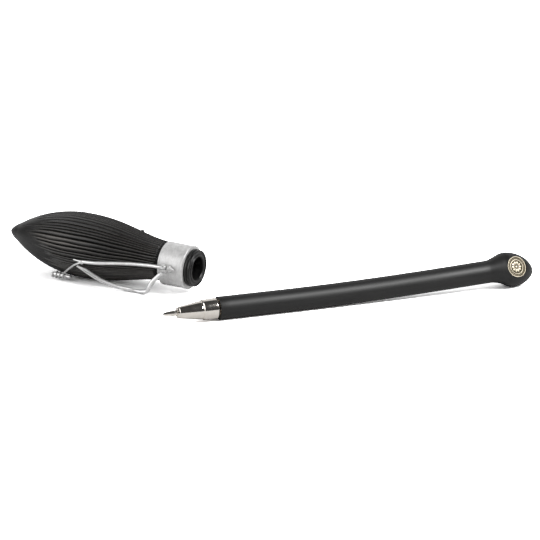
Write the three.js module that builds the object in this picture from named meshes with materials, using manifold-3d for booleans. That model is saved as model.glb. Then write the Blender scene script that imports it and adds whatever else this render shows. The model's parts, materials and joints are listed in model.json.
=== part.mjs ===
// A ballpoint pen in the shape of a broom, with its pull-off cap lying beside it.
// Millimetres, +Z up, standing on the plane z = 0. +X runs along the cap's bore, out of its mouth.
import * as THREE from 'three';
import { mergeVertices } from 'three/addons/utils/BufferGeometryUtils.js';
import Module from 'manifold-3d';

const wasm = await Module();
wasm.setup();

// Clearances
const SLIDE_FIT = 0.1; // radial, between round pieces that fit in one another
const BALL_PLAY = 0.03; // around the writing ball in its socket
const FACE_GAP = 0.15; // between faces that butt
const CUT_OVER = 1; // how far a cutting body stands out of what it cuts
const CLIP_GAP = 0.3; // between the clip and what it meets

// Writing point, measured along the pen from the front of the ball
const BALL_RADIUS = 0.5;
const BALL_SHOWS = 0.3; // how far the ball stands out of its socket
const POINT_RIM = 0.12; // wall of the socket at its lip
const POINT_CONE = 3.6;
const POINT_RADIUS = 1.15;
const POINT_COLLAR_RADIUS = 1.5;
const POINT_STEM = 5; // the part pressed into the ink tube
const POINT_FEED_RADIUS = 0.4;

// Nose cone
const POINT_REACH = 5.9; // from the ball to the mouth of the cone
const CONE_LENGTH = 10;
const CONE_MOUTH_RADIUS = 2.3;
const CONE_BACK_RADIUS = 3.75;
const GROOVE_WIDTH = 0.6;
const GROOVE_DEPTH = 0.3;
const BAND_LENGTH = 6.5;
const BAND_FRONT_RADIUS = 4.1;
const BAND_BACK_RADIUS = 4.35;
const NOSE_CHAMFER = 0.2;
const NOSE_LIP = 2; // length of the guide bore at the mouth of the cone
const SPIGOT_LENGTH = 7;
const SPIGOT_RADIUS = 3.5;

// Refill
const REFILL_LENGTH = 98;
const REFILL_RADIUS = 2.9;
const REFILL_WALL = 0.35;
const REFILL_SHOULDER = 16; // from the ball to the full width of the ink tube
const REFILL_NECK = 2;
const CROWN_LENGTH = 8;
const CROWN_STEM = 3;
const CROWN_SLOTS = 4;
const CROWN_SLOT_WIDTH = 1;
const VENT_RADIUS = 0.6;
const INK_LENGTH = 58;

// Spring round the point
const SPRING_WIRE = 0.4;
const SPRING_RADIUS = 1.95; // to the middle of the wire
const SPRING_TURNS = 6;
const SPRING_STEPS = 10; // a turn
const SPRING_SIDES = 6;

// Handle
const HANDLE_LENGTH = 140;
const HANDLE_RADIUS = 4.7;
const HANDLE_STRAIGHT = 30.5; // from the front of the handle to where it begins to rise
const NECK_FROM_END = 18.4;
const NECK_RADIUS = 4.75;
const NECK_ARCH = 0.1; // how much higher the neck lies than the middle of the knob
const KNOB_FROM_END = 12.6;
const KNOB_RADIUS = 7.3;
const KNOB_FLARE = 8.6; // from the neck's own radius to the knob's
const END_DROOP = 1.6;
const NECK_SLOPE = 0.05;
const KNOB_SLOPE = -0.07;
const END_SLOPE = -0.06;
const DOME_FULLNESS = 2.05; // powers in the curve of the knob's end
const DOME_BLUNTNESS = 0.58;
const FLARE_LEAN = 1.15; // and in its flare
const DOME_END_RADIUS = 0.35;
const MOUTH_SEAM = 0.35; // between the nose cone and the handle
const BUSH_LENGTH = 8;
const BUSH_WALL = 0.4;
const BORE_END_GAP = 0.3;

// Medallion in the knob
const MEDAL_RADIUS = 4.4;
const MEDAL_THICKNESS = 0.9;
const MEDAL_RIM = 0.45;
const MEDAL_RELIEF = 0.22;
const MEDAL_RING = 0.76; // outside of the inner ring, as a share of the field inside the rim
const MEDAL_RING_WIDTH = 0.3;
const MEDAL_PETALS = 10;
const PETAL_TO_RING = 0.86; // how far the petals reach, as a share of the inner ring
const PETAL_FROM = 0.2; // where a petal begins and where it is widest, as shares of its reach
const PETAL_WIDEST = 0.75;
const PETAL_FULLNESS = 0.8; // its width, as a share of the room between two petals
const MEDAL_BOSS = 0.24; // as a share of the petals' reach
const MEDAL_SHIFT = 2.3; // its middle past the middle of the knob
const MEDAL_SEAT = 4.6; // from the middle line to the floor of the pocket
const POCKET_CUT = 8; // length of the body that cuts its pocket
const MEDAL_RAISE = 27; // degrees above the horizontal
const MEDAL_TURN = 10; // degrees towards the end of the handle

// Cap, measured along its bore from the tip of the head
const HEAD_LENGTH = 75.7;
const BELLY_FROM_TIP = 36.2;
const BELLY_RADIUS = 13.7;
const TIP_FULLNESS = 1.95; // powers in the curve from the tip to the belly
const TIP_BLUNTNESS = 0.847;
const TIP_ROUND = 0.78; // rounding of the very tip, and how far it reaches
const TIP_ROUND_LENGTH = 5;
const BACK_TAPER = 1.27; // and from the belly to the collar
const HEAD_BACK_RADIUS = 8.35;
const FLUTES = 40;
const FLUTE_DEPTH = 0.5;
const FLUTE_VARIES = 0.2; // how much the grooves differ, as a share of their depth
const FLUTE_BEATS = [2.4, 5.3]; // how the strands differ round the head, in radians a flute
const SMOOTH_TIP = 7;
const NECK_SPIGOT_RADIUS = 7.45;
const NECK_SPIGOT_LENGTH = 11;
const COLLAR_LENGTH = 11.8;
const COLLAR_BACK_RADIUS = 8.5;
const COLLAR_FRONT_RADIUS = 8.85;
const COLLAR_SAG = [0.15, 0.03]; // how much fuller it is below than above at its back and front, shares of its radius
const COLLAR_BEAD = 0.2;
const COLLAR_BEAD_LENGTH = 1.2;
const SOCKET_LIP_LENGTH = 2.9;
const SOCKET_LIP_RADIUS = 7.8;
const SOCKET_GROOVE = 0.5;
const SOCKET_FACE_STEP = 0.8; // from the outside of the lip to its flat face
const SOCKET_BODY_RADIUS = 6.2;
const SOCKET_FIT = 0.17; // between the handle and the bore of the cap
const SOCKET_GRIP = 12; // length of handle that the cap holds
const SOCKET_NOSE_FIT = 0.15;
const SOCKET_TIP_ROOM = 3.5; // beyond the point when the cap is on
const SOCKET_FLOOR = 1.6;
const SOCKET_VENT_RADIUS = 1.2;
const RING_SECTION = 0.4;
const RING_FIT = 0.08;
const RING_FROM_MOUTH = 5;

// Clip: places are [from the pin back towards the tip, out from the axis, up from the axis]
const PIN_FROM_COLLAR = 3.75; // from the back edge of the collar
const ROD_RADIUS = 0.85;
const STRAP_RADIUS = 1.05;
const STEM_RADIUS = 0.5;
const STUB_RADIUS = 0.35;
const STUB_TAPER = 0.14; // share of the rod over which it thins to its end
const STRAP_SWELL = 0.16; // share of the strap over which it widens, and again narrows
const STRAP_NARROWS = 0.55; // where it begins to narrow
const CROTCH_RADIUS = 0.83; // where the bars meet
const CLIP_ROD_PATH = [
  [0, 10.35, 0.85], [7.4, 10.35, 0.34], [13.2, 11.15, -0.24], [18.9, 12.3, -0.8], [24.2, 13.5, -1.37],
  [29.6, 14.5, -1.75], [36.5, 15.1, -2.1], [40.1, 15.05, -1.85]];
const CLIP_STRAP_PATH = [
  [36.5, 15.1, -2.1], [35.3, 14.6, -5.5], [32.3, 13.6, -7.6], [29.2, 12.7, -9.0], [25.8, 12.1, -10.1],
  [22.2, 11.7, -10.75], [18.2, 11.6, -11.1], [14.2, 11.8, -11.1], [10.2, 12.1, -10.95], [6.8, 12.2, -10.5],
  [5.2, 11.9, -9.3], [4.9, 11.5, -7.85], [4.2, 11.1, -5.95], [2.6, 10.7, -3.5],
  [1.1, 10.45, -2.0], [0, 10.35, -1.75]];
const CLIP_STEM_PATH = [[36.5, 15.1, -2.1], [38.8, 14.9, -4.3], [41.3, 14.1, -6.5], [44.4, 12.5, -9.0], [48.1, 9.7, -12.1]];
const FOOT_LENGTH = 9.6;
const FOOT_RADIUS = 1.05;
const FOOT_RING_RADIUS = 1.45;
const FOOT_RINGS = 3;
const FOOT_RING_LENGTH = 1.1;
const FOOT_END = 0.4; // length of its rounded ends
const EYE_RADIUS = 1.35;
const EYE_HEIGHT = 1.3;
const PIN_RADIUS = 0.5;
const PIN_HEAD_RADIUS = 0.8;
const PIN_HEAD_HEIGHT = 0.25;
const BRACKET_LENGTH = 3.8;
const BRACKET_BEVEL = 0.25;
const BRACKET_WIDTH = 4;
const BRACKET_HEEL = 0.35; // shares of the length where it begins to narrow and where it curves in most
const BRACKET_WAIST = 0.55;
const BRACKET_WAIST_WIDTH = 0.4; // a share of the width
const BRACKET_STANDS = 1.8; // above the collar
const RIVET_RADIUS = 0.6;
const RIVET_HEAD_RADIUS = 0.8;
const RIVET_HEAD_HEIGHT = 0.4;

// Where the two halves lie
const CAP_TILT = 2.88; // degrees that the mouth of the cap lies below its tip
const PEN_TURN = 48.4; // degrees from the cap's bore to the handle
const PEN_FROM_MOUTH = [8.8, -45.8];

const ROUND = 36; // sides of a turned piece
const SMALL_ROUND = 22;

// Places that follow from the sizes above
const coneBack = POINT_REACH + CONE_LENGTH;
const bandFront = coneBack + GROOVE_WIDTH;
const noseBack = bandFront + BAND_LENGTH;
const spigotEnd = noseBack + SPIGOT_LENGTH;
const handleFront = noseBack + MOUTH_SEAM;
const handleEnd = handleFront + HANDLE_LENGTH;
const neckAt = handleEnd - NECK_FROM_END;
const knobAt = handleEnd - KNOB_FROM_END;
const boreRadius = REFILL_RADIUS + SLIDE_FIT * 2;
const bushBore = SPIGOT_RADIUS + SLIDE_FIT;
const bushRadius = bushBore + BUSH_WALL;
const crownFront = REFILL_LENGTH - CROWN_LENGTH;
const tubeBore = REFILL_RADIUS - REFILL_WALL;
const springFront = POINT_REACH + NOSE_LIP + FACE_GAP + SPRING_WIRE / 2;
const springBack = REFILL_SHOULDER - REFILL_NECK - FACE_GAP - SPRING_WIRE / 2;
const collarBack = HEAD_LENGTH + FACE_GAP;
const collarFront = collarBack + COLLAR_LENGTH;
const pinAt = collarBack + PIN_FROM_COLLAR;
const capMouth = collarFront + SOCKET_LIP_LENGTH;
const socketBore = HANDLE_RADIUS + SOCKET_FIT;
const socketNoseBore = BAND_BACK_RADIUS + SOCKET_NOSE_FIT;
const gripEnd = capMouth - SOCKET_GRIP;
const socketEnd = gripEnd - handleFront - SOCKET_TIP_ROOM;
const collarBore = NECK_SPIGOT_RADIUS + SLIDE_FIT;
const headBore = SOCKET_BODY_RADIUS + SLIDE_FIT;

const radians = THREE.MathUtils.degToRad;
const smoothstep = (u) => THREE.MathUtils.smoothstep(u, 0, 1);

// Solids

function solid(geometry) {
  const bare = geometry.clone();
  bare.deleteAttribute('normal');
  bare.deleteAttribute('uv');
  const merged = mergeVertices(bare, 1e-4);
  return new wasm.Manifold(new wasm.Mesh({
    numProp: 3,
    vertProperties: merged.attributes.position.array,
    triVerts: new Uint32Array(merged.index.array),
  }));
}

function geometryOf(body) {
  const { numProp, vertProperties, triVerts } = body.getMesh();
  const count = vertProperties.length / numProp;
  const positions = new Float32Array(count * 3);
  for (let i = 0; i < count; i++) {
    positions.set(vertProperties.subarray(i * numProp, i * numProp + 3), i * 3);
  }
  const geometry = new THREE.BufferGeometry();
  geometry.setAttribute('position', new THREE.BufferAttribute(positions, 3));
  geometry.setIndex(new THREE.BufferAttribute(new Uint32Array(triVerts), 1));
  geometry.computeVertexNormals();
  return geometry;
}

// A profile of [along, radius] points turned about +X, in either order.
function turned(profile, sides = ROUND) {
  const points = profile.map(([along, radius]) => new THREE.Vector2(radius, along));
  if (THREE.ShapeUtils.area(points) < 0) {
    points.reverse();
  }
  return new THREE.LatheGeometry(points, sides).rotateZ(-Math.PI / 2);
}

function rod(from, to, radius, sides = SMALL_ROUND) {
  return turned([[from, 0], [from, radius], [to, radius], [to, 0]], sides);
}

// Closed rings of points, one after another, with a flat or pointed end at each side.
function lofted(rings) {
  const count = rings[0].length;
  const positions = rings.flat().flatMap((p) => [p.x, p.y, p.z]);
  const middle = (ring) => ring.reduce((sum, p) => sum.add(p), new THREE.Vector3()).divideScalar(count);
  const first = middle(rings[0]);
  const last = middle(rings[rings.length - 1]);
  positions.push(first.x, first.y, first.z, last.x, last.y, last.z);
  const firstIndex = rings.length * count;
  const index = [];
  for (let i = 0; i + 1 < rings.length; i++) {
    for (let j = 0; j < count; j++) {
      const a = i * count + j;
      const b = i * count + (j + 1) % count;
      index.push(a, b, a + count, b, b + count, a + count);
    }
  }
  const lastRing = (rings.length - 1) * count;
  for (let j = 0; j < count; j++) {
    const next = (j + 1) % count;
    index.push(firstIndex, next, j);
    index.push(firstIndex + 1, lastRing + j, lastRing + next);
  }
  const geometry = new THREE.BufferGeometry();
  geometry.setAttribute('position', new THREE.Float32BufferAttribute(positions, 3));
  geometry.setIndex(index);
  return geometry;
}

// A round bar along a smooth line, with a radius that changes along it.
function bent(points, radiusAt, steps, sides) {
  const line = new THREE.CatmullRomCurve3(points, false, 'centripetal');
  const frames = line.computeFrenetFrames(steps, false);
  const rings = [];
  for (let i = 0; i <= steps; i++) {
    const centre = line.getPointAt(i / steps);
    const radius = radiusAt(i / steps);
    const ring = [];
    for (let j = 0; j < sides; j++) {
      const angle = (j / sides) * Math.PI * 2;
      ring.push(centre.clone()
        .addScaledVector(frames.normals[i], radius * Math.cos(angle))
        .addScaledVector(frames.binormals[i], radius * Math.sin(angle)));
    }
    rings.push(ring);
  }
  return lofted(rings);
}

// Materials

const finish = (color, roughness, metalness) => new THREE.MeshStandardMaterial({ color, roughness, metalness });
const blackLacquer = finish(0x2c2b2a, 0.45, 0);
const blackBristle = finish(0x2e2d2c, 0.55, 0);
const blackPlastic = finish(0x222222, 0.35, 0);
const silverPaint = finish(0xcfcfd0, 0.45, 0.6);
const brightSteel = finish(0xd8d8d6, 0.15, 1);
const nickel = finish(0xc9c2b8, 0.12, 1);
const brass = finish(0xc9b071, 0.3, 1);
const refillSteel = finish(0xb8b6ae, 0.3, 1);
const carbide = finish(0x8d8f92, 0.1, 1);
const clearPlastic = finish(0xd9d9d2, 0.4, 0);
const inkBlue = finish(0x16204a, 0.3, 0);
const rubber = finish(0x1a1a1a, 0.8, 0);

function piece(name, shape, material) {
  const geometry = shape.isBufferGeometry ? shape : geometryOf(shape);
  const mesh = new THREE.Mesh(geometry, material);
  mesh.name = name;
  return mesh;
}

// Writing point and refill, along +X from the front of the ball

function writingBall() {
  return new THREE.SphereGeometry(BALL_RADIUS, 14, 8).translate(BALL_RADIUS, 0, 0);
}

function refillPoint() {
  const socket = BALL_RADIUS + BALL_PLAY;
  const lipInner = Math.sqrt(socket ** 2 - (BALL_RADIUS - BALL_SHOWS) ** 2);
  const seat = BALL_RADIUS + Math.sqrt(socket ** 2 - POINT_FEED_RADIUS ** 2);
  const neckFront = REFILL_SHOULDER - REFILL_NECK;
  const stemEnd = neckFront + POINT_STEM;
  const profile = [[BALL_SHOWS, lipInner]];
  const arcSteps = 5;
  const lipAngle = Math.atan2(lipInner, BALL_SHOWS - BALL_RADIUS);
  const seatAngle = Math.atan2(POINT_FEED_RADIUS, seat - BALL_RADIUS);
  for (let i = 1; i <= arcSteps; i++) {
    const angle = lipAngle + (seatAngle - lipAngle) * (i / arcSteps);
    profile.push([BALL_RADIUS + socket * Math.cos(angle), socket * Math.sin(angle)]);
  }
  profile.push(
    [stemEnd, POINT_FEED_RADIUS],
    [stemEnd, POINT_COLLAR_RADIUS - SLIDE_FIT],
    [neckFront - FACE_GAP, POINT_COLLAR_RADIUS - SLIDE_FIT],
    [neckFront - FACE_GAP, POINT_COLLAR_RADIUS],
    [POINT_REACH + NOSE_LIP + 1, POINT_COLLAR_RADIUS],
    [POINT_REACH + NOSE_LIP, POINT_RADIUS],
    [BALL_SHOWS + POINT_CONE, POINT_RADIUS],
    [BALL_SHOWS, lipInner + POINT_RIM],
    [BALL_SHOWS, lipInner],
  );
  return turned(profile, SMALL_ROUND);
}

function refillTube() {
  const neckFront = REFILL_SHOULDER - REFILL_NECK;
  return turned([
    [neckFront, POINT_COLLAR_RADIUS],
    [REFILL_SHOULDER, POINT_COLLAR_RADIUS],
    [REFILL_SHOULDER + REFILL_WALL, tubeBore],
    [crownFront, tubeBore],
    [crownFront, REFILL_RADIUS],
    [REFILL_SHOULDER, REFILL_RADIUS],
    [neckFront, POINT_COLLAR_RADIUS + REFILL_WALL],
    [neckFront, POINT_COLLAR_RADIUS],
  ], SMALL_ROUND);
}

function refillCrown() {
  const stemFront = crownFront - CROWN_STEM;
  const stem = tubeBore - SLIDE_FIT;
  const body = solid(turned([
    [stemFront, VENT_RADIUS],
    [REFILL_LENGTH, VENT_RADIUS],
    [REFILL_LENGTH, stem],
    [REFILL_LENGTH - 1, REFILL_RADIUS],
    [crownFront + FACE_GAP, REFILL_RADIUS],
    [crownFront + FACE_GAP, stem],
    [stemFront, stem],
    [stemFront, VENT_RADIUS],
  ], SMALL_ROUND));
  const slotDepth = CROWN_LENGTH / 2;
  const slot = new THREE.BoxGeometry(slotDepth * 2, REFILL_RADIUS * 4, CROWN_SLOT_WIDTH);
  let crown = body;
  for (let i = 0; i < CROWN_SLOTS / 2; i++) {
    const cut = slot.clone().rotateX((i * Math.PI * 2) / CROWN_SLOTS).translate(REFILL_LENGTH, 0, 0);
    crown = crown.subtract(solid(cut));
  }
  return crown;
}

function inkColumn() {
  const front = REFILL_SHOULDER - REFILL_NECK + POINT_STEM + FACE_GAP;
  return rod(front, front + INK_LENGTH, tubeBore - SLIDE_FIT);
}

function pointSpring() {
  const total = SPRING_TURNS * SPRING_STEPS;
  const rings = [];
  const pitch = (springBack - springFront) / SPRING_TURNS;
  const lead = Math.atan2(pitch, Math.PI * 2 * SPRING_RADIUS);
  for (let i = 0; i <= total; i++) {
    const angle = (i / SPRING_STEPS) * Math.PI * 2;
    const out = new THREE.Vector3(0, Math.cos(angle), Math.sin(angle));
    const across = new THREE.Vector3(
      -Math.cos(lead), -Math.sin(lead) * Math.sin(angle), Math.sin(lead) * Math.cos(angle));
    const centre = new THREE.Vector3(springFront + (pitch * i) / SPRING_STEPS, 0, 0)
      .addScaledVector(out, SPRING_RADIUS);
    const ring = [];
    for (let j = 0; j < SPRING_SIDES; j++) {
      const turn = (j / SPRING_SIDES) * Math.PI * 2;
      ring.push(centre.clone()
        .addScaledVector(out, (SPRING_WIRE / 2) * Math.cos(turn))
        .addScaledVector(across, (SPRING_WIRE / 2) * Math.sin(turn)));
    }
    rings.push(ring);
  }
  console.log(`least gap between turns of the spring: ${(pitch * Math.cos(lead) - SPRING_WIRE).toFixed(2)} mm`);
  return lofted(rings);
}

// Nose cone, with the spigot that screws into the handle

function noseCone() {
  const guide = POINT_RADIUS + SLIDE_FIT;
  const springRoom = SPRING_RADIUS + SPRING_WIRE / 2 + SLIDE_FIT * 2;
  const refillRoom = REFILL_RADIUS + SLIDE_FIT;
  const springWall = POINT_REACH + NOSE_LIP;
  const grooveRadius = CONE_BACK_RADIUS - GROOVE_DEPTH;
  return turned([
    [POINT_REACH, guide],
    [springWall, guide],
    [springWall, springRoom],
    [REFILL_SHOULDER - REFILL_NECK - FACE_GAP, springRoom],
    [REFILL_SHOULDER - FACE_GAP * 2, refillRoom],
    [spigotEnd, refillRoom],
    [spigotEnd, SPIGOT_RADIUS],
    [noseBack, SPIGOT_RADIUS],
    [noseBack, BAND_BACK_RADIUS - NOSE_CHAMFER],
    [noseBack - NOSE_CHAMFER, BAND_BACK_RADIUS],
    [bandFront + NOSE_CHAMFER, BAND_FRONT_RADIUS],
    [bandFront, BAND_FRONT_RADIUS - NOSE_CHAMFER],
    [bandFront, grooveRadius],
    [coneBack, grooveRadius],
    [coneBack, CONE_BACK_RADIUS],
    [POINT_REACH + NOSE_CHAMFER, CONE_MOUTH_RADIUS],
    [POINT_REACH, CONE_MOUTH_RADIUS - NOSE_CHAMFER],
    [POINT_REACH, guide],
  ]);
}

// Handle: a round bar that rises to its neck and droops into the knob

const handleKnots = [
  { along: handleFront + HANDLE_STRAIGHT, height: 0, slope: 0 },
  { along: neckAt, height: KNOB_RADIUS - HANDLE_RADIUS + NECK_ARCH, slope: NECK_SLOPE },
  { along: knobAt, height: KNOB_RADIUS - HANDLE_RADIUS, slope: KNOB_SLOPE },
  { along: handleEnd, height: KNOB_RADIUS - HANDLE_RADIUS - END_DROOP, slope: END_SLOPE },
];

// Height of the handle's centre line above the bore, and its slope.
function handleLine(along) {
  if (along <= handleKnots[0].along) {
    return { height: 0, slope: 0 };
  }
  const next = Math.max(1, handleKnots.findIndex((knot) => along <= knot.along));
  const [a, b] = [handleKnots[next - 1], handleKnots[next]];
  const span = b.along - a.along;
  const u = (along - a.along) / span;
  const height = a.height * (1 - u) ** 2 * (1 + 2 * u) + b.height * u * u * (3 - 2 * u)
    + a.slope * span * u * (1 - u) ** 2 - b.slope * span * u * u * (1 - u);
  const slope = ((b.height - a.height) * 6 * u * (1 - u)) / span
    + a.slope * (1 - u) * (1 - 3 * u) + b.slope * u * (3 * u - 2);
  return { height, slope };
}

function handleRadius(along) {
  if (along >= knobAt) {
    const u = (along - knobAt) / (handleEnd - knobAt);
    return Math.max(DOME_END_RADIUS, KNOB_RADIUS * Math.max(1 - u ** DOME_FULLNESS, 0) ** DOME_BLUNTNESS);
  }
  const flareStart = knobAt - KNOB_FLARE;
  if (along >= flareStart) {
    const u = (along - flareStart) / KNOB_FLARE;
    return NECK_RADIUS + (KNOB_RADIUS - NECK_RADIUS) * smoothstep(u ** FLARE_LEAN);
  }
  const u = (along - handleFront) / (flareStart - handleFront);
  return HANDLE_RADIUS + (NECK_RADIUS - HANDLE_RADIUS) * u ** 2;
}

function handleRing(along, radius, sides) {
  const { height, slope } = handleLine(along);
  const lean = Math.atan(slope);
  const ring = [];
  for (let j = 0; j < sides; j++) {
    const angle = (j / sides) * Math.PI * 2;
    const up = radius * Math.cos(angle);
    ring.push(new THREE.Vector3(
      along - up * Math.sin(lean),
      -radius * Math.sin(angle),
      height + up * Math.cos(lean),
    ));
  }
  return ring;
}

// The medallion's own frame: +Z out of the knob, with its origin on the floor of the pocket.
function medalFrame() {
  const raise = radians(MEDAL_RAISE);
  const turn = radians(MEDAL_TURN);
  const out = new THREE.Vector3(
    Math.cos(raise) * Math.sin(turn), -Math.cos(raise) * Math.cos(turn), Math.sin(raise));
  const along = new THREE.Vector3(1, 0, 0).addScaledVector(out, -out.x).normalize();
  const up = new THREE.Vector3().crossVectors(out, along);
  const middle = knobAt + MEDAL_SHIFT;
  const centre = new THREE.Vector3(middle, 0, handleLine(middle).height).addScaledVector(out, MEDAL_SEAT);
  return new THREE.Matrix4().makeBasis(along, up, out).setPosition(centre);
}

function handle() {
  const sides = 28;
  const stations = [handleFront, handleKnots[0].along];
  const risingRings = 9;
  for (let i = 1; i <= risingRings; i++) {
    stations.push(THREE.MathUtils.lerp(handleKnots[0].along, knobAt - KNOB_FLARE, i / risingRings));
  }
  const flareRings = 7;
  for (let i = 1; i <= flareRings; i++) {
    stations.push(knobAt - KNOB_FLARE + (KNOB_FLARE * i) / flareRings);
  }
  const domeRings = 8;
  for (let i = 1; i <= domeRings; i++) {
    stations.push(knobAt + (handleEnd - knobAt) * Math.sin((i / domeRings) * Math.PI / 2));
  }
  const rings = stations.map((along) => handleRing(along, handleRadius(along), sides));
  const bore = turned([
    [handleFront - CUT_OVER, 0],
    [REFILL_LENGTH + BORE_END_GAP, 0],
    [REFILL_LENGTH + BORE_END_GAP, boreRadius],
    [handleFront + BUSH_LENGTH + FACE_GAP * 2, boreRadius],
    [handleFront + BUSH_LENGTH + FACE_GAP * 2, bushRadius + SLIDE_FIT],
    [handleFront - CUT_OVER, bushRadius + SLIDE_FIT],
    [handleFront - CUT_OVER, 0],
  ]);
  const pocketRadius = MEDAL_RADIUS + SLIDE_FIT;
  const pocket = new THREE.CylinderGeometry(pocketRadius, pocketRadius, POCKET_CUT, ROUND)
    .rotateX(Math.PI / 2).translate(0, 0, POCKET_CUT / 2).applyMatrix4(medalFrame());
  return solid(lofted(rings)).subtract(solid(bore)).subtract(solid(pocket));
}

function barrelBush() {
  const front = handleFront + FACE_GAP;
  return turned([
    [front, bushBore],
    [front + BUSH_LENGTH, bushBore],
    [front + BUSH_LENGTH, bushRadius],
    [front, bushRadius],
    [front, bushBore],
  ]);
}

// A round badge with a raised rim, a ring and a rosette of petals.
function medallion() {
  const floor = FACE_GAP;
  const face = floor + MEDAL_THICKNESS - MEDAL_RELIEF;
  const top = face + MEDAL_RELIEF;
  const rimInner = MEDAL_RADIUS - MEDAL_RIM;
  const ringOuter = rimInner * MEDAL_RING;
  const ringInner = ringOuter - MEDAL_RING_WIDTH;
  const disc = turned([
    [floor, 0], [floor, MEDAL_RADIUS], [top, MEDAL_RADIUS], [top, rimInner],
    [face, rimInner], [face, ringOuter], [top, ringOuter], [top, ringInner], [face, ringInner], [face, 0],
  ]).rotateY(-Math.PI / 2);
  const petal = new THREE.Shape();
  const reach = ringInner * PETAL_TO_RING;
  const half = reach * Math.sin(Math.PI / MEDAL_PETALS) * PETAL_FULLNESS;
  petal.moveTo(reach * PETAL_FROM, 0);
  petal.quadraticCurveTo(reach * PETAL_WIDEST, -half, reach, 0);
  petal.quadraticCurveTo(reach * PETAL_WIDEST, half, reach * PETAL_FROM, 0);
  const depth = MEDAL_THICKNESS / 2;
  const raised = new THREE.ExtrudeGeometry(petal, { depth, bevelEnabled: false, curveSegments: 2 })
    .translate(0, 0, top - depth);
  const bossRadius = reach * MEDAL_BOSS;
  const boss = new THREE.CylinderGeometry(bossRadius, bossRadius, depth, 12)
    .rotateX(Math.PI / 2).translate(0, 0, top - depth / 2);
  let body = solid(disc).add(solid(boss));
  for (let i = 0; i < MEDAL_PETALS; i++) {
    body = body.add(solid(raised.clone().rotateZ((i * Math.PI * 2) / MEDAL_PETALS)));
  }
  return geometryOf(body).applyMatrix4(medalFrame());
}

// Cap, along +X from the tip of the head

function headRadius(along) {
  if (along < BELLY_FROM_TIP) {
    const u = 1 - along / BELLY_FROM_TIP;
    const round = 2 * TIP_ROUND * along * Math.max(1 - along / TIP_ROUND_LENGTH, 0);
    return Math.hypot(BELLY_RADIUS * (1 - u ** TIP_FULLNESS) ** TIP_BLUNTNESS, Math.sqrt(round));
  }
  const v = (along - BELLY_FROM_TIP) / (HEAD_LENGTH - BELLY_FROM_TIP);
  return BELLY_RADIUS + (HEAD_BACK_RADIUS - BELLY_RADIUS) * smoothstep(v ** BACK_TAPER);
}

// Depth of the groove between two strands. Strands differ a little, and they run out into a smooth tip.
function fluteDepth(along, flute) {
  const fadeIn = smoothstep((along - SMOOTH_TIP) / (BELLY_FROM_TIP - SMOOTH_TIP));
  const narrow = headRadius(along) / BELLY_RADIUS;
  const strand = 1 - FLUTE_VARIES * (1 - Math.sin(flute * FLUTE_BEATS[0]) * Math.cos(flute * FLUTE_BEATS[1]));
  return FLUTE_DEPTH * fadeIn * narrow * strand;
}

function bristleHead() {
  const stations = [];
  const tipRings = 9;
  for (let i = 1; i <= tipRings; i++) {
    stations.push(BELLY_FROM_TIP * (1 - Math.cos((i / tipRings) * Math.PI / 2)));
  }
  const backRings = 8;
  for (let i = 1; i <= backRings; i++) {
    stations.push(THREE.MathUtils.lerp(BELLY_FROM_TIP, HEAD_LENGTH, i / backRings));
  }
  const rings = stations.map((along) => {
    const ring = [];
    for (let flute = 0; flute < FLUTES; flute++) {
      for (const [place, groove] of [[0, 0], [0.5, fluteDepth(along, flute)]]) {
        const angle = ((flute + place) / FLUTES) * Math.PI * 2;
        const radius = headRadius(along) - groove;
        ring.push(new THREE.Vector3(along, -radius * Math.sin(angle), -radius * Math.cos(angle)));
      }
    }
    return ring.reverse();
  });
  const spigotEnd = HEAD_LENGTH + NECK_SPIGOT_LENGTH;
  const neck = rod(HEAD_LENGTH - SOCKET_FLOOR, spigotEnd, NECK_SPIGOT_RADIUS, ROUND);
  const bore = rod(socketEnd - SOCKET_FLOOR - FACE_GAP, spigotEnd + CUT_OVER, headBore, ROUND);
  return solid(lofted(rings)).add(solid(neck)).subtract(solid(bore)).subtract(solid(rivetShank(SLIDE_FIT)));
}

function collar() {
  const beadBack = collarFront - COLLAR_BEAD_LENGTH;
  const beadRadius = COLLAR_FRONT_RADIUS + COLLAR_BEAD;
  const ring = turned([
    [collarBack, collarBore],
    [collarFront, collarBore],
    [collarFront, beadRadius - COLLAR_BEAD],
    [collarFront - COLLAR_BEAD, beadRadius],
    [beadBack + COLLAR_BEAD, beadRadius],
    [beadBack, COLLAR_FRONT_RADIUS],
    [collarBack + COLLAR_BEAD, COLLAR_BACK_RADIUS],
    [collarBack, COLLAR_BACK_RADIUS - COLLAR_BEAD],
    [collarBack, collarBore],
  ]);
  const places = ring.getAttribute('position');
  for (let i = 0; i < places.count; i++) {
    const outside = Math.hypot(places.getY(i), places.getZ(i)) > collarBore + FACE_GAP;
    if (outside && places.getZ(i) < 0) {
      const toFront = (places.getX(i) - collarBack) / COLLAR_LENGTH;
      places.setZ(i, places.getZ(i) * (1 + THREE.MathUtils.lerp(...COLLAR_SAG, toFront)));
    }
  }
  return solid(ring).subtract(solid(rivetShank(SLIDE_FIT)));
}

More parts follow.
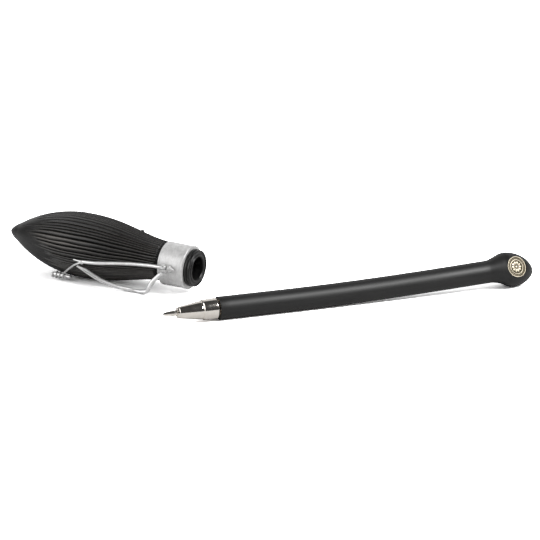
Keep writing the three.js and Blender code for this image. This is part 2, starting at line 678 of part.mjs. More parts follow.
function capSocket() {
  const lipBack = collarFront + FACE_GAP;
  const round = SOCKET_GROOVE;
  const ringAt = capMouth - RING_FROM_MOUTH;
  const ringRoom = RING_SECTION + SLIDE_FIT;
  const grooveRadius = HANDLE_RADIUS + RING_FIT + RING_SECTION * 2 + SLIDE_FIT;
  const floorBack = socketEnd - SOCKET_FLOOR;
  return turned([
    [floorBack, SOCKET_VENT_RADIUS],
    [socketEnd, SOCKET_VENT_RADIUS],
    [socketEnd, socketNoseBore],
    [gripEnd, socketNoseBore],
    [gripEnd, socketBore],
    [ringAt - ringRoom, socketBore],
    [ringAt - ringRoom, grooveRadius],
    [ringAt + ringRoom, grooveRadius],
    [ringAt + ringRoom, socketBore],
    [capMouth - round, socketBore],
    [capMouth, socketBore + round],
    [capMouth, SOCKET_LIP_RADIUS - SOCKET_FACE_STEP],
    [capMouth - round, SOCKET_LIP_RADIUS - round / 2],
    [capMouth - round * 2, SOCKET_LIP_RADIUS],
    [lipBack + round, SOCKET_LIP_RADIUS],
    [lipBack + round, SOCKET_LIP_RADIUS - round],
    [lipBack, SOCKET_LIP_RADIUS - round],
    [lipBack, SOCKET_BODY_RADIUS],
    [floorBack, SOCKET_BODY_RADIUS],
    [floorBack, SOCKET_VENT_RADIUS],
  ]);
}

function gripRing() {
  const middle = HANDLE_RADIUS + RING_FIT + RING_SECTION;
  return new THREE.TorusGeometry(middle, RING_SECTION, 6, ROUND)
    .rotateY(Math.PI / 2).translate(capMouth - RING_FROM_MOUTH, 0, 0);
}

// Clip on the near side of the cap, which is -Y

const clipPlaces = (path) => path.map(([back, out, up]) => new THREE.Vector3(pinAt - back, -out, up));
const [pinPlace] = clipPlaces(CLIP_ROD_PATH);
const lastEye = clipPlaces(CLIP_STRAP_PATH).at(-1);
const eyesMiddle = (pinPlace.z + lastEye.z) / 2;
const lugHeight = pinPlace.z - lastEye.z - EYE_HEIGHT - FACE_GAP * 2;
const bracketBack = pinPlace.x + EYE_RADIUS + CLIP_GAP;
const bracketTop = COLLAR_BACK_RADIUS + BRACKET_STANDS;
const lugEnd = bracketBack + BRACKET_BEVEL * 2;
const rivetAt = lugEnd + RIVET_HEAD_RADIUS + FACE_GAP;

function rivetShank(clearance) {
  const length = bracketTop - headBore;
  return new THREE.CylinderGeometry(RIVET_RADIUS + clearance, RIVET_RADIUS + clearance, length, 16)
    .translate(rivetAt, -(headBore + SLIDE_FIT + length / 2), eyesMiddle);
}

// A post along the up direction, centred on the pin.
function onPin(radius, bottom, top) {
  return new THREE.CylinderGeometry(radius, radius, top - bottom, 20).rotateX(Math.PI / 2)
    .translate(pinPlace.x, pinPlace.y, (top + bottom) / 2);
}

// A plate that draws to a point towards the mouth, with a lug for the pin.
function clipBracket() {
  const half = BRACKET_WIDTH / 2;
  const outline = new THREE.Shape();
  outline.moveTo(0, -half);
  const heel = BRACKET_LENGTH * BRACKET_HEEL;
  const waist = BRACKET_LENGTH * BRACKET_WAIST;
  const narrow = half * BRACKET_WAIST_WIDTH;
  outline.lineTo(heel, -half);
  outline.quadraticCurveTo(waist, -narrow, BRACKET_LENGTH, 0);
  outline.quadraticCurveTo(waist, narrow, heel, half);
  outline.lineTo(0, half);
  const depth = bracketTop - collarBore - BRACKET_BEVEL;
  const plate = new THREE.ExtrudeGeometry(outline, {
    depth, bevelThickness: BRACKET_BEVEL, bevelSize: BRACKET_BEVEL, bevelOffset: -BRACKET_BEVEL,
    bevelSegments: 2, curveSegments: 6,
  }).rotateX(Math.PI / 2).translate(bracketBack, -collarBore, eyesMiddle);
  const reach = lugEnd - pinPlace.x;
  const lugBottom = eyesMiddle - lugHeight / 2;
  const lug = onPin(EYE_RADIUS, lugBottom, lugBottom + lugHeight);
  const root = new THREE.BoxGeometry(reach, EYE_RADIUS * 2, lugHeight)
    .translate(pinPlace.x + reach / 2, pinPlace.y, eyesMiddle);
  const bed = rod(collarBack - COLLAR_LENGTH, capMouth, COLLAR_FRONT_RADIUS + FACE_GAP);
  return solid(plate).add(solid(lug)).add(solid(root)).subtract(solid(bed))
    .subtract(solid(rivetShank(SLIDE_FIT)))
    .subtract(solid(onPin(PIN_RADIUS + SLIDE_FIT, lugBottom - CUT_OVER, lugBottom + lugHeight + CUT_OVER)));
}

function clipRivet() {
  const arc = [[0, 0]];
  const arcSteps = 4;
  for (let i = 0; i <= arcSteps; i++) {
    const angle = (i / arcSteps) * Math.PI / 2;
    arc.push([RIVET_HEAD_HEIGHT * Math.sin(angle), RIVET_HEAD_RADIUS * Math.cos(angle)]);
  }
  const dome = turned(arc, 16).rotateZ(-Math.PI / 2).translate(rivetAt, -(bracketTop + FACE_GAP), eyesMiddle);
  const shank = rivetShank(0).translate(0, -FACE_GAP * 1.5, 0);
  return solid(dome).add(solid(shank));
}

function clipPin() {
  const reach = EYE_HEIGHT / 2 + FACE_GAP;
  const bottom = lastEye.z - reach;
  const top = pinPlace.z + reach;
  return solid(onPin(PIN_RADIUS, bottom - PIN_HEAD_HEIGHT / 2, top + PIN_HEAD_HEIGHT / 2))
    .add(solid(onPin(PIN_HEAD_RADIUS, bottom - PIN_HEAD_HEIGHT, bottom)))
    .add(solid(onPin(PIN_HEAD_RADIUS, top, top + PIN_HEAD_HEIGHT)));
}

function clipStem(clearance) {
  const places = clipPlaces(CLIP_STEM_PATH);
  const [before, last] = places.slice(-2);
  last.addScaledVector(last.clone().sub(before).normalize(), clearance);
  return bent(places, () => STEM_RADIUS + clearance, 9, 8);
}

// Two bars that meet at the far end, each with an eye on the pin, and a stem for the foot.
function clipFrame() {
  const rodBar = bent(clipPlaces(CLIP_ROD_PATH), (u) => THREE.MathUtils.lerp(
    ROD_RADIUS, STUB_RADIUS, smoothstep((u - 1 + STUB_TAPER) / STUB_TAPER)), 18, 8);
  const widened = (u) => smoothstep(u / STRAP_SWELL) * (1 - smoothstep((u - STRAP_NARROWS) / STRAP_SWELL));
  const strap = bent(clipPlaces(CLIP_STRAP_PATH),
    (u) => THREE.MathUtils.lerp(ROD_RADIUS, STRAP_RADIUS, widened(u)), 32, 8);
  const knot = new THREE.SphereGeometry(CROTCH_RADIUS, 10, 6).translate(...clipPlaces(CLIP_STEM_PATH)[0]);
  let frame = solid(rodBar).add(solid(strap)).add(solid(clipStem(0))).add(solid(knot));
  for (const middle of [pinPlace.z, lastEye.z]) {
    frame = frame.add(solid(onPin(EYE_RADIUS, middle - EYE_HEIGHT / 2, middle + EYE_HEIGHT / 2)));
  }
  const hole = onPin(PIN_RADIUS + SLIDE_FIT, lastEye.z - EYE_HEIGHT, pinPlace.z + EYE_HEIGHT);
  const slot = onPin(EYE_RADIUS + CLIP_GAP, lastEye.z + EYE_HEIGHT / 2, pinPlace.z - EYE_HEIGHT / 2);
  const over = pinPlace.z + EYE_HEIGHT / 2;
  const under = lastEye.z - EYE_HEIGHT / 2;
  const headRoom = PIN_HEAD_RADIUS + FACE_GAP;
  return frame.subtract(solid(hole)).subtract(solid(slot))
    .subtract(solid(onPin(headRoom, over, over + EYE_HEIGHT)))
    .subtract(solid(onPin(headRoom, under - EYE_HEIGHT, under)));
}

// A ringed bar that presses on the cloth, at the end of the stem.
function clipFoot() {
  const seat = clipPlaces(CLIP_STEM_PATH).at(-1);
  const half = FOOT_LENGTH / 2;
  const ringHalf = FOOT_RING_LENGTH / 2;
  const endRadius = FOOT_RADIUS - FOOT_END;
  const profile = [[-half, 0], [-half, endRadius], [-half + FOOT_END, FOOT_RADIUS]];
  for (let i = 0; i < FOOT_RINGS; i++) {
    const at = -half + (FOOT_LENGTH * (i + 0.75)) / (FOOT_RINGS + 0.5);
    profile.push([at - ringHalf, FOOT_RADIUS], [at - ringHalf / 2, FOOT_RING_RADIUS],
      [at + ringHalf / 2, FOOT_RING_RADIUS], [at + ringHalf, FOOT_RADIUS]);
  }
  profile.push([half - FOOT_END, FOOT_RADIUS], [half, endRadius], [half, 0]);
  return solid(turned(profile, 14).translate(...seat)).subtract(solid(clipStem(SLIDE_FIT)));
}

// Assembly

const pen = new THREE.Group();
const nose = new THREE.Group();
const refill = new THREE.Group();
nose.add(piece('nose_cone', noseCone(), nickel));
refill.add(
  piece('writing_ball', writingBall(), carbide),
  piece('refill_point', refillPoint(), nickel),
  piece('refill_tube', refillTube(), refillSteel),
  piece('refill_crown', refillCrown(), clearPlastic),
  piece('ink_column', inkColumn(), inkBlue),
  piece('point_spring', pointSpring(), brightSteel),
);
pen.add(
  nose,
  refill,
  piece('handle', handle(), blackLacquer),
  piece('barrel_bush', barrelBush(), brass),
  piece('medallion', medallion(), brass),
);

const cap = new THREE.Group();
cap.add(
  piece('bristle_head', bristleHead(), blackBristle),
  piece('collar', collar(), silverPaint),
  piece('cap_socket', capSocket(), blackPlastic),
  piece('grip_ring', gripRing(), rubber),
  piece('clip_bracket', clipBracket(), silverPaint),
  piece('clip_rivet', clipRivet(), brightSteel),
  piece('clip_pin', clipPin(), brightSteel),
  piece('clip_frame', clipFrame(), brightSteel),
  piece('clip_foot', clipFoot(), brightSteel),
);

// The cap lies on its belly with its mouth down, and the handle on its straight run and its knob.
const tilt = radians(CAP_TILT);
let capRest = 0;
for (let along = 0; along <= HEAD_LENGTH; along += 0.25) {
  capRest = Math.max(capRest, along * Math.sin(tilt) + headRadius(along) * Math.cos(tilt));
}
cap.rotation.y = tilt;
cap.position.set(-capMouth * Math.cos(tilt), 0, capRest);
pen.rotation.z = radians(PEN_TURN);
pen.position.set(PEN_FROM_MOUTH[0], PEN_FROM_MOUTH[1], HANDLE_RADIUS);

const broomPen = new THREE.Group();
broomPen.add(pen, cap);

// The origin is the middle of the footprint, on the table.
broomPen.updateMatrixWorld(true);
const extent = new THREE.Box3().setFromObject(broomPen, true);
const shift = extent.getCenter(new THREE.Vector3()).setZ(extent.min.z);
for (const half of [pen, cap]) {
  half.position.sub(shift);
}

export default broomPen;
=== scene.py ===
# A broom-shaped ballpoint pen with its cap taken off beside it, as it looks.
# Shapes are in millimetres in the pen's own frame and the cap's own frame.
# +X runs along each of them, from the ball and from the tip.
import json
import random
from math import atan, atan2, cos, degrees, exp, hypot, pi, radians, remainder, sin, sqrt

import bmesh
import bpy
from mathutils import Matrix, Vector


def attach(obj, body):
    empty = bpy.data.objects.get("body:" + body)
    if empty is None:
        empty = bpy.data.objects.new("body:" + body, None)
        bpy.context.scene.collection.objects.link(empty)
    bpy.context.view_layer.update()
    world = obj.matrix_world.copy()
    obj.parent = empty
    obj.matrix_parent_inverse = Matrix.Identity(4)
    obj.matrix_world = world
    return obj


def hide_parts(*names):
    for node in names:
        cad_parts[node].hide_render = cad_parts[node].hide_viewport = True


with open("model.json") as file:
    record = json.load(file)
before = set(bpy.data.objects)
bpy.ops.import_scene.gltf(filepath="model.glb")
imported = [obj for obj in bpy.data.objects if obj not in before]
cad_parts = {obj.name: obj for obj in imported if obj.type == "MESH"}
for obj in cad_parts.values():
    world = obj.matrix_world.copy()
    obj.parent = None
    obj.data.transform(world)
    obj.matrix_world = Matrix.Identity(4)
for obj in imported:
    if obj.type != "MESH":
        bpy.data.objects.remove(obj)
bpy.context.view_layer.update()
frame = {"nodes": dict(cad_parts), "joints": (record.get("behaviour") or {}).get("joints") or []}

MM = 0.001
TURN = 2 * pi
WHITE = (1, 1, 1, 1)

# Clearances
SLIDE_FIT = 0.1
FACE_GAP = 0.15
CLIP_GAP = 0.3

# Pen, from the front of the ball
BALL_RADIUS = 0.5
BALL_SHOWS = 0.3
POINT_RADIUS = 1.15
POINT_CONE = 3.6
POINT_COLLAR_RADIUS = 1.5
POINT_STEM = 5
POINT_FEED_RADIUS = 0.4
POINT_REACH = 5.9
CONE_LENGTH = 10
CONE_MOUTH_RADIUS = 2.3
CONE_BACK_RADIUS = 3.75
GROOVE_WIDTH = 0.6
GROOVE_DEPTH = 0.16
BAND_LENGTH = 6.5
BAND_FRONT_RADIUS = 4.1
BAND_BACK_RADIUS = 4.35
NOSE_LIP = 2
SPIGOT_LENGTH = 7
SPIGOT_RADIUS = 3.5
THREAD_PITCH = 0.75
THREAD_DEPTH = 0.22
REFILL_LENGTH = 98
REFILL_RADIUS = 2.9
REFILL_WALL = 0.35
REFILL_SHOULDER = 16
REFILL_NECK = 2
CROWN_LENGTH = 8
SPRING_WIRE = 0.4
SPRING_RADIUS = 1.95
SPRING_TURNS = 6
MOUTH_SEAM = 0.35
HANDLE_LENGTH = 140
HANDLE_RADIUS = 4.7
HANDLE_STRAIGHT = 30.5
HANDLE_SIDES = 112
NECK_FROM_END = 18.4
NECK_RADIUS = 4.75
NECK_ARCH = 0.1
KNOB_FROM_END = 12.6
KNOB_RADIUS = 7.3
KNOB_FLARE = 8.6
END_DROOP = 1.6
NECK_SLOPE = 0.05
KNOB_SLOPE = -0.07
END_SLOPE = -0.06
KNOB_LEAN = 2.4
DOME_FULLNESS = 2.05
DOME_BLUNTNESS = 0.58
FLARE_LEAN = 1.15
RAMP_LENGTH = 10
RAMP_CURVE = 1.5
RAMP_END = 1.6
RAMP_RADIUS = 6.35
BUSH_LENGTH = 8
BUSH_WALL = 0.4
BORE_END_GAP = 0.3
MOUTH_EDGE = 0.25
MOUTH_CHAMFER = 0.1
MEDAL_RADIUS = 4.4
MEDAL_THICKNESS = 0.9
MEDAL_SHIFT = 2.3
MEDAL_SEAT = 4.6
MEDAL_RAISE = 27
MEDAL_TURN = 10
MEDAL_PETALS = 10
MEDAL_BEADS = 40
MEDAL_RELIEF = 0.22
POCKET_DEPTH = 1.12

# Cap, from the tip of the head
HEAD_LENGTH = 75.7
BELLY_FROM_TIP = 36.2
BELLY_RADIUS = 13.7
TIP_FULLNESS = 1.95
TIP_BLUNTNESS = 0.847
TIP_ROUND = 0.78
TIP_ROUND_LENGTH = 5
BACK_TAPER = 1.27
HEAD_BACK_RADIUS = 8.35
HEAD_STEPS = ((3.42, 0.62, 105), (68.6, 0.16, 21), (71.9, 0.48, 5))
NECK_SPIGOT_RADIUS = 7.45
NECK_SPIGOT_LENGTH = 11
STRANDS = 62
GROOVE_DEEP = 0.55
GROOVE_HALF_WIDTH = 0.2
STRAND_CROWN = 0.16
STRAND_STEPS = (0, 0.05, 0.12, 0.22, 0.36, 0.5, 0.64, 0.78, 0.88, 0.95)
# Painted highlight: a pale patch on the upper near side of the belly, where the light catches the head.
HIGHLIGHT_PATCH_AT = 28
HIGHLIGHT_PATCH_HALF_LENGTH = 13
HIGHLIGHT_PATCH_TURN = 163
HIGHLIGHT_PATCH_HALF_TURN = 15
NUB_AT = 62.7
NUB_TURN = 12
NUB_HEIGHT = 0.85
NUB_HALF_LENGTH = 0.75
COLLAR_LENGTH = 11.8
COLLAR_BACK_RADIUS = 8.5
COLLAR_FRONT_RADIUS = 8.85
COLLAR_BEAD = 0.2
COLLAR_BEAD_LENGTH = 1.2
SEAM_DEPTH = 0.11
SEAM_HALF_WIDTH = 0.12
COLLAR_SAG_BACK = 0.15
COLLAR_SAG_FRONT = 0.03
FITTING_DROOP = 0.5
SOCKET_LIP_LENGTH = 2.9
SOCKET_LIP_RADIUS = 7.8
SOCKET_BODY_RADIUS = 6.2
SOCKET_FIT = 0.17
SOCKET_GRIP = 12
SOCKET_NOSE_FIT = 0.15
SOCKET_TIP_ROOM = 3.5
SOCKET_FLOOR = 1.6
SOCKET_VENT_RADIUS = 1.2
RING_SECTION = 0.4
RING_FIT = 0.08
RING_FROM_MOUTH = 5

# Clip: places are [from the pin back towards the tip, out from the axis, up from the axis]
PIN_FROM_COLLAR = 3.75
PIN_OUT = 10.35
PIN_UP = -0.45
ROD_RADIUS = 0.72
HOOK_RADIUS = 0.95
STUB_RADIUS = 0.3
STEM_RADIUS = 0.42
STEM_ROOT_RADIUS = 0.86
STRAP_WIRE = 0.5
STRAP_SPREAD = 0.68
ROD_PATH = [
    (0, 10.35, 0.65), (3.2, 10.35, 0.56), (6, 10.35, 0.42), (14, 11.3, -0.11), (19.1, 12.3, -0.57),
    (24.2, 13.3, -1.17), (29.6, 14.5, -1.75), (36.5, 15.1, -2.1), (40.1, 15.05, -1.85)]
STRAP_PATH = [
    (38.2, 14.7, -4.45), (36.7, 14.5, -5.07), (35.1, 14.2, -5.73), (33.3, 13.9, -6.57), (31.5, 13.6, -7.5),
    (29.8, 13.3, -8.38), (27.1, 12.9, -9.43), (24.4, 12.5, -10.17), (21.7, 12.2, -10.75), (18.9, 11.95, -11.13),
    (16.2, 11.8, -11.23), (13.4, 11.7, -11.23), (10.4, 11.8, -11.14), (7.6, 12.1, -10.8), (6, 12.1, -10.1),
    (5.4, 12, -8.91), (4.8, 11.7, -7.37), (3.8, 11.3, -5.64), (2.6, 10.95, -4.25), (1.3, 10.6, -2.8),
    (0, 10.35, -1.6)]
STEM_PATH = [
    (35.7, 15.1, -2.42), (37.7, 14.9, -3.27), (39.9, 14.4, -4.54), (42.3, 13.4, -6.44), (45.1, 12, -8.85),
    (48.2, 9.9, -11.75)]
EYE_RADIUS = 1.35
EYE_HEIGHT = 1.3
UPPER_EYE = 0.85
LOWER_EYE = -1.75
PIN_RADIUS = 0.5
PIN_HEAD_RADIUS = 0.8
PIN_HEAD_HEIGHT = 0.25
BRACKET_LENGTH = 3.8
BRACKET_WIDTH = 3.2
BRACKET_UP = 0.1
BRACKET_STANDS = 1.8
BRACKET_TIP_DROP = 0.9
BRACKET_CROWN = 0.07
RIVET_HEAD_RADIUS = 1.15
RIVET_HEAD_HEIGHT = 0.4
FOOT_LENGTH = 9.6
WINDING_TURNS = 3.2
WINDING_RADIUS = 1.14

# Camera: the photograph's view, fitted to its edges
VIEW_AZIMUTH = 27.16
VIEW_ELEVATION = 16.3
VIEW_DISTANCE = 1200
PHOTO_SIZE = 540
PIXELS_PER_MM = 2.416
AIM_RIGHT = 29.706
AIM_UP = 9.709

# Light
WORLD_FRONT = 0.4
WORLD_BACK = 1.25
SCREEN_AZIMUTH = -38
SCREEN_ELEVATION = 24
SCREEN_WHITE = 1.35
TABLE_WHITE = 0.86
TABLE_SEEN = 2.4
TABLE_MIRRORED = 0.5

# Places that follow from the sizes above
cone_back = POINT_REACH + CONE_LENGTH
band_front = cone_back + GROOVE_WIDTH
nose_back = band_front + BAND_LENGTH
spigot_end = nose_back + SPIGOT_LENGTH
handle_front = nose_back + MOUTH_SEAM
handle_end = handle_front + HANDLE_LENGTH
neck_at = handle_end - NECK_FROM_END
knob_at = handle_end - KNOB_FROM_END
flare_start = knob_at - KNOB_FLARE
bore_radius = REFILL_RADIUS + SLIDE_FIT * 2
bush_bore = SPIGOT_RADIUS + SLIDE_FIT
bush_radius = bush_bore + BUSH_WALL
crown_front = REFILL_LENGTH - CROWN_LENGTH
tube_bore = REFILL_RADIUS - REFILL_WALL
neck_front = REFILL_SHOULDER - REFILL_NECK
spring_front = POINT_REACH + NOSE_LIP + FACE_GAP + SPRING_WIRE / 2
spring_back = neck_front - FACE_GAP - SPRING_WIRE / 2
collar_back = HEAD_LENGTH + FACE_GAP
collar_front = collar_back + COLLAR_LENGTH
pin_at = collar_back + PIN_FROM_COLLAR
bracket_back = pin_at + EYE_RADIUS + CLIP_GAP
bracket_top = COLLAR_BACK_RADIUS + BRACKET_STANDS
cap_mouth = collar_front + SOCKET_LIP_LENGTH
socket_bore = HANDLE_RADIUS + SOCKET_FIT
socket_nose_bore = BAND_BACK_RADIUS + SOCKET_NOSE_FIT
grip_end = cap_mouth - SOCKET_GRIP
socket_end = grip_end - handle_front - SOCKET_TIP_ROOM
collar_bore = NECK_SPIGOT_RADIUS + SLIDE_FIT
head_bore = SOCKET_BODY_RADIUS + SLIDE_FIT
ring_at = cap_mouth - RING_FROM_MOUTH
ring_middle = HANDLE_RADIUS + RING_FIT + RING_SECTION

# Frames of the two halves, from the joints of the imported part

joints = {joint["name"]: joint for joint in frame["joints"]}


def placed(axes, place):
    """The frame with these three axes at this place, in metres."""
    matrix = Matrix(axes).transposed().to_4x4()
    matrix.translation = place
    return matrix


def frame_of(x_axis, z_axis, place, local):
    """The frame with these axes in which the point local lies at place, in metres."""
    x = Vector(x_axis).normalized()
    z = Vector(z_axis)
    z = (z - x * z.dot(x)).normalized()
    axes = (x, z.cross(x), z)
    return placed(axes, Vector(place) - placed(axes, (0, 0, 0)) @ (Vector(local) * MM))


PEN = frame_of(joints["nose_turn"]["axis"], (0, 0, 1), joints["ball_roll"]["pos_m"], (BALL_RADIUS, 0, 0))
CAP = frame_of(-Vector(joints["cap_slide"]["axis"]), joints["clip_lift"]["axis"],
               joints["clip_lift"]["pos_m"], (pin_at, -PIN_OUT, PIN_UP))


# Numbers and outlines

def lerp(a, b, u):
    return a + (b - a) * u


def smoothstep(u):
    u = min(max(u, 0), 1)
    return u * u * (3 - 2 * u)


def bell(x):
    return exp(-x * x)


def turns_of(sides):
    """The angles of evenly spaced points round a circle."""
    return [TURN * j / sides for j in range(sides)]


def along_steps(start, end, step):
    """Evenly spaced places between two places, without these two."""
    count = max(2, round(abs(end - start) / step))
    return [lerp(start, end, k / count) for k in range(1, count)]


def steps_from(along, radius, *steps):
    """Part of an outline: points at steps from one place and radius."""
    return [(along + x, radius + r) for x, r in steps]


def arc(middle, radius, start, end, steps):
    """Part of an outline: points on a circle about a place on the axis."""
    angles = [lerp(start, end, k / steps) for k in range(steps + 1)]
    return [(middle + radius * cos(a), radius * sin(a)) for a in angles]


def rounded(profile, radius, steps=3):
    """A closed outline with its corners rounded, apart from those on the axis."""
    result = []
    count = len(profile)
    for i, corner in enumerate(profile):
        here = Vector(corner)
        before = Vector(profile[i - 1]) - here
        after = Vector(profile[(i + 1) % count]) - here
        if here.y <= 1e-6 or before.length < 1e-6 or after.length < 1e-6:
            result.append(tuple(here))
            continue
        cut = min(radius, before.length * 0.45, after.length * 0.45)
        start = here + before.normalized() * cut
        end = here + after.normalized() * cut
        for k in range(steps + 1):
            u = k / steps
            result.append(tuple(start * (1 - u) ** 2 + here * 2 * u * (1 - u) + end * u * u))
    return result


def curve_points(knots, count):
    """Evenly spaced points along a centripetal spline through the knots."""
    ends = [2 * knots[0] - knots[1], *knots, 2 * knots[-1] - knots[-2]]
    fine = []
    steps = 24
    for i in range(1, len(ends) - 2):
        p = ends[i - 1:i + 3]
        t = [0.0]
        for a, b in zip(p, p[1:]):
            t.append(t[-1] + max((b - a).length, 1e-6) ** 0.5)
        for k in range(steps + (i == len(ends) - 3)):
            s = lerp(t[1], t[2], k / steps)
            first = [p[m].lerp(p[m + 1], (s - t[m]) / (t[m + 1] - t[m])) for m in range(3)]
            second = [first[m].lerp(first[m + 1], (s - t[m]) / (t[m + 2] - t[m])) for m in range(2)]
            fine.append(second[0].lerp(second[1], (s - t[1]) / (t[2] - t[1])))
    lengths = [0.0]
    for a, b in zip(fine, fine[1:]):
        lengths.append(lengths[-1] + (b - a).length)
    result = []
    at = 0
    for i in range(count):
        want = lengths[-1] * i / (count - 1)
        while at < len(lengths) - 2 and lengths[at + 1] < want:
            at += 1
        span = max(lengths[at + 1] - lengths[at], 1e-9)
        result.append(fine[at].lerp(fine[at + 1], (want - lengths[at]) / span))
    return result


# Shells: a list of points in millimetres with a list of faces

def joined(shells):
    """Several shells as one."""
    points, faces = [], []
    for more_points, more_faces in shells:
        start = len(points)
        points.extend(more_points)
        faces.extend([tuple(i + start for i in face) for face in more_faces])
    return points, faces


def mapped(shell, change):
    """A shell with every point (x, y, z) changed."""
    points, faces = shell
    return [change(*p) for p in points], faces


def moved(shell, by):
    return mapped(shell, lambda x, y, z: (x + by.x, y + by.y, z + by.z))


def rings_shell(rings, closed=False):
    """A skin over rings of points, with a fan at each end, or joined end to end."""
    count = len(rings[0])
    points = [tuple(p) for ring in rings for p in ring]
    faces = []
    for i in range(len(rings) if closed else len(rings) - 1):
        a = i * count
        b = (i + 1) % len(rings) * count
        for j in range(count):
            k = (j + 1) % count
            faces.append((a + j, a + k, b + k, b + j))
    if not closed:
        for start, ring in ((0, rings[0]), ((len(rings) - 1) * count, rings[-1])):
            hub = len(points)
            points.append(tuple(sum((Vector(p) for p in ring), Vector()) / count))
            faces += [(hub, start + j, start + (j + 1) % count) for j in range(count)]
    return points, faces


def turned_shell(profile, sides=96, shape=None):
    """A closed outline of (along, radius) turned about +X. shape(along, radius, angle) gives another radius."""
    rings = []
    for along, radius in profile:
        ring = []
        for angle in turns_of(sides):
            r = shape(along, radius, angle) if shape else radius
            ring.append((along, r * cos(angle), r * sin(angle)))
        rings.append(ring)
    points, faces = rings_shell(rings, closed=True)
    on_axis = [radius <= 1e-6 for _, radius in profile]
    on_axis.append(on_axis[0])
    return points, [face for i, face in enumerate(faces)
                    if not (on_axis[i // sides] and on_axis[i // sides + 1])]


def from_axis(p):
    return Vector((0, p.y, p.z)).normalized()


def way_along(line, i):
    """The direction of a line at its point i."""
    return (line[min(i + 1, len(line) - 1)] - line[max(i - 1, 0)]).normalized()


def swept_shell(line, radius_at, sides=20, flat=1.0):
    """A bar along a line. radius_at(u) is half its width, and flat times that is half its height."""
    rings = []
    for i, here in enumerate(line):
        tangent = way_along(line, i)
        out = from_axis(here)
        normal = (out - tangent * out.dot(tangent)).normalized()
        side = tangent.cross(normal)
        radius = radius_at(i / (len(line) - 1))
        rings.append([here + side * (radius * cos(a)) + normal * (radius * flat * sin(a))
                      for a in turns_of(sides)])
    return rings_shell(rings)


def round_end(u, length_share):
    """How far a bar that ends round has grown to its full width at u from 0 to 1."""
    edge = min(u, 1 - u) / length_share
    return sqrt(max(1 - (1 - min(edge, 1)) ** 2, 0.0004))


# Pieces

def smoothed(mesh, sharp):
    """Shades a mesh smooth, but for edges sharper than sharp degrees."""
    mesh.polygons.foreach_set("use_smooth", [True] * len(mesh.polygons))
    mesh.set_sharp_from_angle(angle=radians(sharp))


def piece(name, shell, place, sharp):
    """A mesh object from a shell in the frame place."""
    points, faces = shell
    mesh = bpy.data.meshes.new(name)
    mesh.from_pydata([place @ (Vector(p) * MM) for p in points], [], faces)
    weld = bmesh.new()
    weld.from_mesh(mesh)
    bmesh.ops.remove_doubles(weld, verts=weld.verts, dist=1e-7)
    bmesh.ops.recalc_face_normals(weld, faces=weld.faces)
    weld.to_mesh(mesh)
    weld.free()
    smoothed(mesh, sharp)
    made = bpy.data.objects.new(name, mesh)
    bpy.context.scene.collection.objects.link(made)
    return made


def finish_piece(made, material, body, slot, node):
    """Gives a piece its material and its body, and hides the node that it stands for. The slot is not used."""
    made.data.materials.clear()
    made.data.materials.append(material)
    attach(made, body)
    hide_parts(node)


def dressed(name, shell, place, sharp, *finish):
    made = piece(name, shell, place, sharp)
    finish_piece(made, *finish)
    return made


# Materials

class Graph:
    """A node tree whose nodes are added one by one."""

    def __init__(self, owner):
        owner.use_nodes = True
        self.nodes = owner.node_tree.nodes
        self.links = owner.node_tree.links

    def feed(self, node, inputs):
        """Gives each of these inputs its value, or a link from the output of another node."""
        for key, value in inputs.items():
            if isinstance(value, bpy.types.NodeSocket):
                self.links.new(value, node.inputs[key])
            else:
                node.inputs[key].default_value = value

    def node(self, kind, inputs=None, **settings):
        made = self.nodes.new("ShaderNode" + kind)
        for key, value in settings.items():
            setattr(made, key, value)
        self.feed(made, inputs or {})
        return made

    def maths(self, operation, a, b):
        return self.node("Math", {0: a, 1: b}, operation=operation).outputs["Value"]

    def spread(self, value, low, high, from_low=0.0, from_high=1.0, **settings):
        """A value spread from one range to another."""
        return self.node("MapRange", {
            "Value": value, "From Min": from_low, "From Max": from_high, "To Min": low, "To Max": high},
            **settings).outputs["Result"]


class Look(Graph):
    """A material about one shader, whose colour, roughness and relief come from noises on the piece."""

    def __init__(self, name, colour, roughness, metallic=0.0, **values):
        self.material = bpy.data.materials.new(name)
        self.material.diffuse_color = (*colour, 1)
        super().__init__(self.material)
        self.shader = self.nodes["Principled BSDF"]
        self.shade(Base_Color=(*colour, 1), Roughness=roughness, Metallic=metallic, **values)

    def shade(self, **inputs):
        self.feed(self.shader, {key.replace("_", " "): value for key, value in inputs.items()})

    def local(self, place, stretch=(1, 1, 1)):
        """The place on the piece in millimetres in its own frame, stretched."""
        back = place.inverted()
        coordinates = self.node("TexCoord").outputs["Object"]
        turned = self.node("Mapping", {
            "Vector": coordinates, "Location": back.translation / MM,
            "Rotation": back.to_euler(), "Scale": (1 / MM,) * 3}).outputs["Vector"]
        return self.node("Mapping", {"Vector": turned, "Scale": stretch}).outputs["Vector"]

    def noise(self, place, scale, detail=3.0, rough=0.5, stretch=(1, 1, 1)):
        return self.node("TexNoise", {
            "Vector": self.local(place, stretch), "Scale": scale, "Detail": detail,
            "Roughness": rough}).outputs["Fac"]

    def blend(self, a, b, share):
        """Two values mixed, with this share of the first."""
        return self.maths("ADD", self.maths("MULTIPLY", a, share), self.maths("MULTIPLY", b, 1 - share))

    def colour(self, value, *stops):
        """Colours the material along a ramp of (value, colour)."""
        made = self.node("ValToRGB", {"Fac": value})
        band = made.color_ramp
        while len(band.elements) < len(stops):
            band.elements.new(0.5)
        for element, (at, shade) in zip(band.elements, stops):
            element.position = at
            element.color = (*shade, 1)
        self.shade(Base_Color=made.outputs["Color"])

    def rough(self, value, low, high, from_low=0.35, from_high=0.65):
        self.shade(Roughness=self.spread(value, low, high, from_low, from_high))

    def bump(self, height, depth, strength, under=None):
        inputs = {"Height": height, "Distance": depth * MM, "Strength": strength}
        if under:
            inputs["Normal"] = under
        return self.node("Bump", inputs).outputs["Normal"]

    def relief(self, height, depth, strength, under=None):
        self.shade(Normal=self.bump(height, depth, strength, under))


def grey(value, warm=0.0):
    return (value * (1 + warm), value, value * (1 - warm))


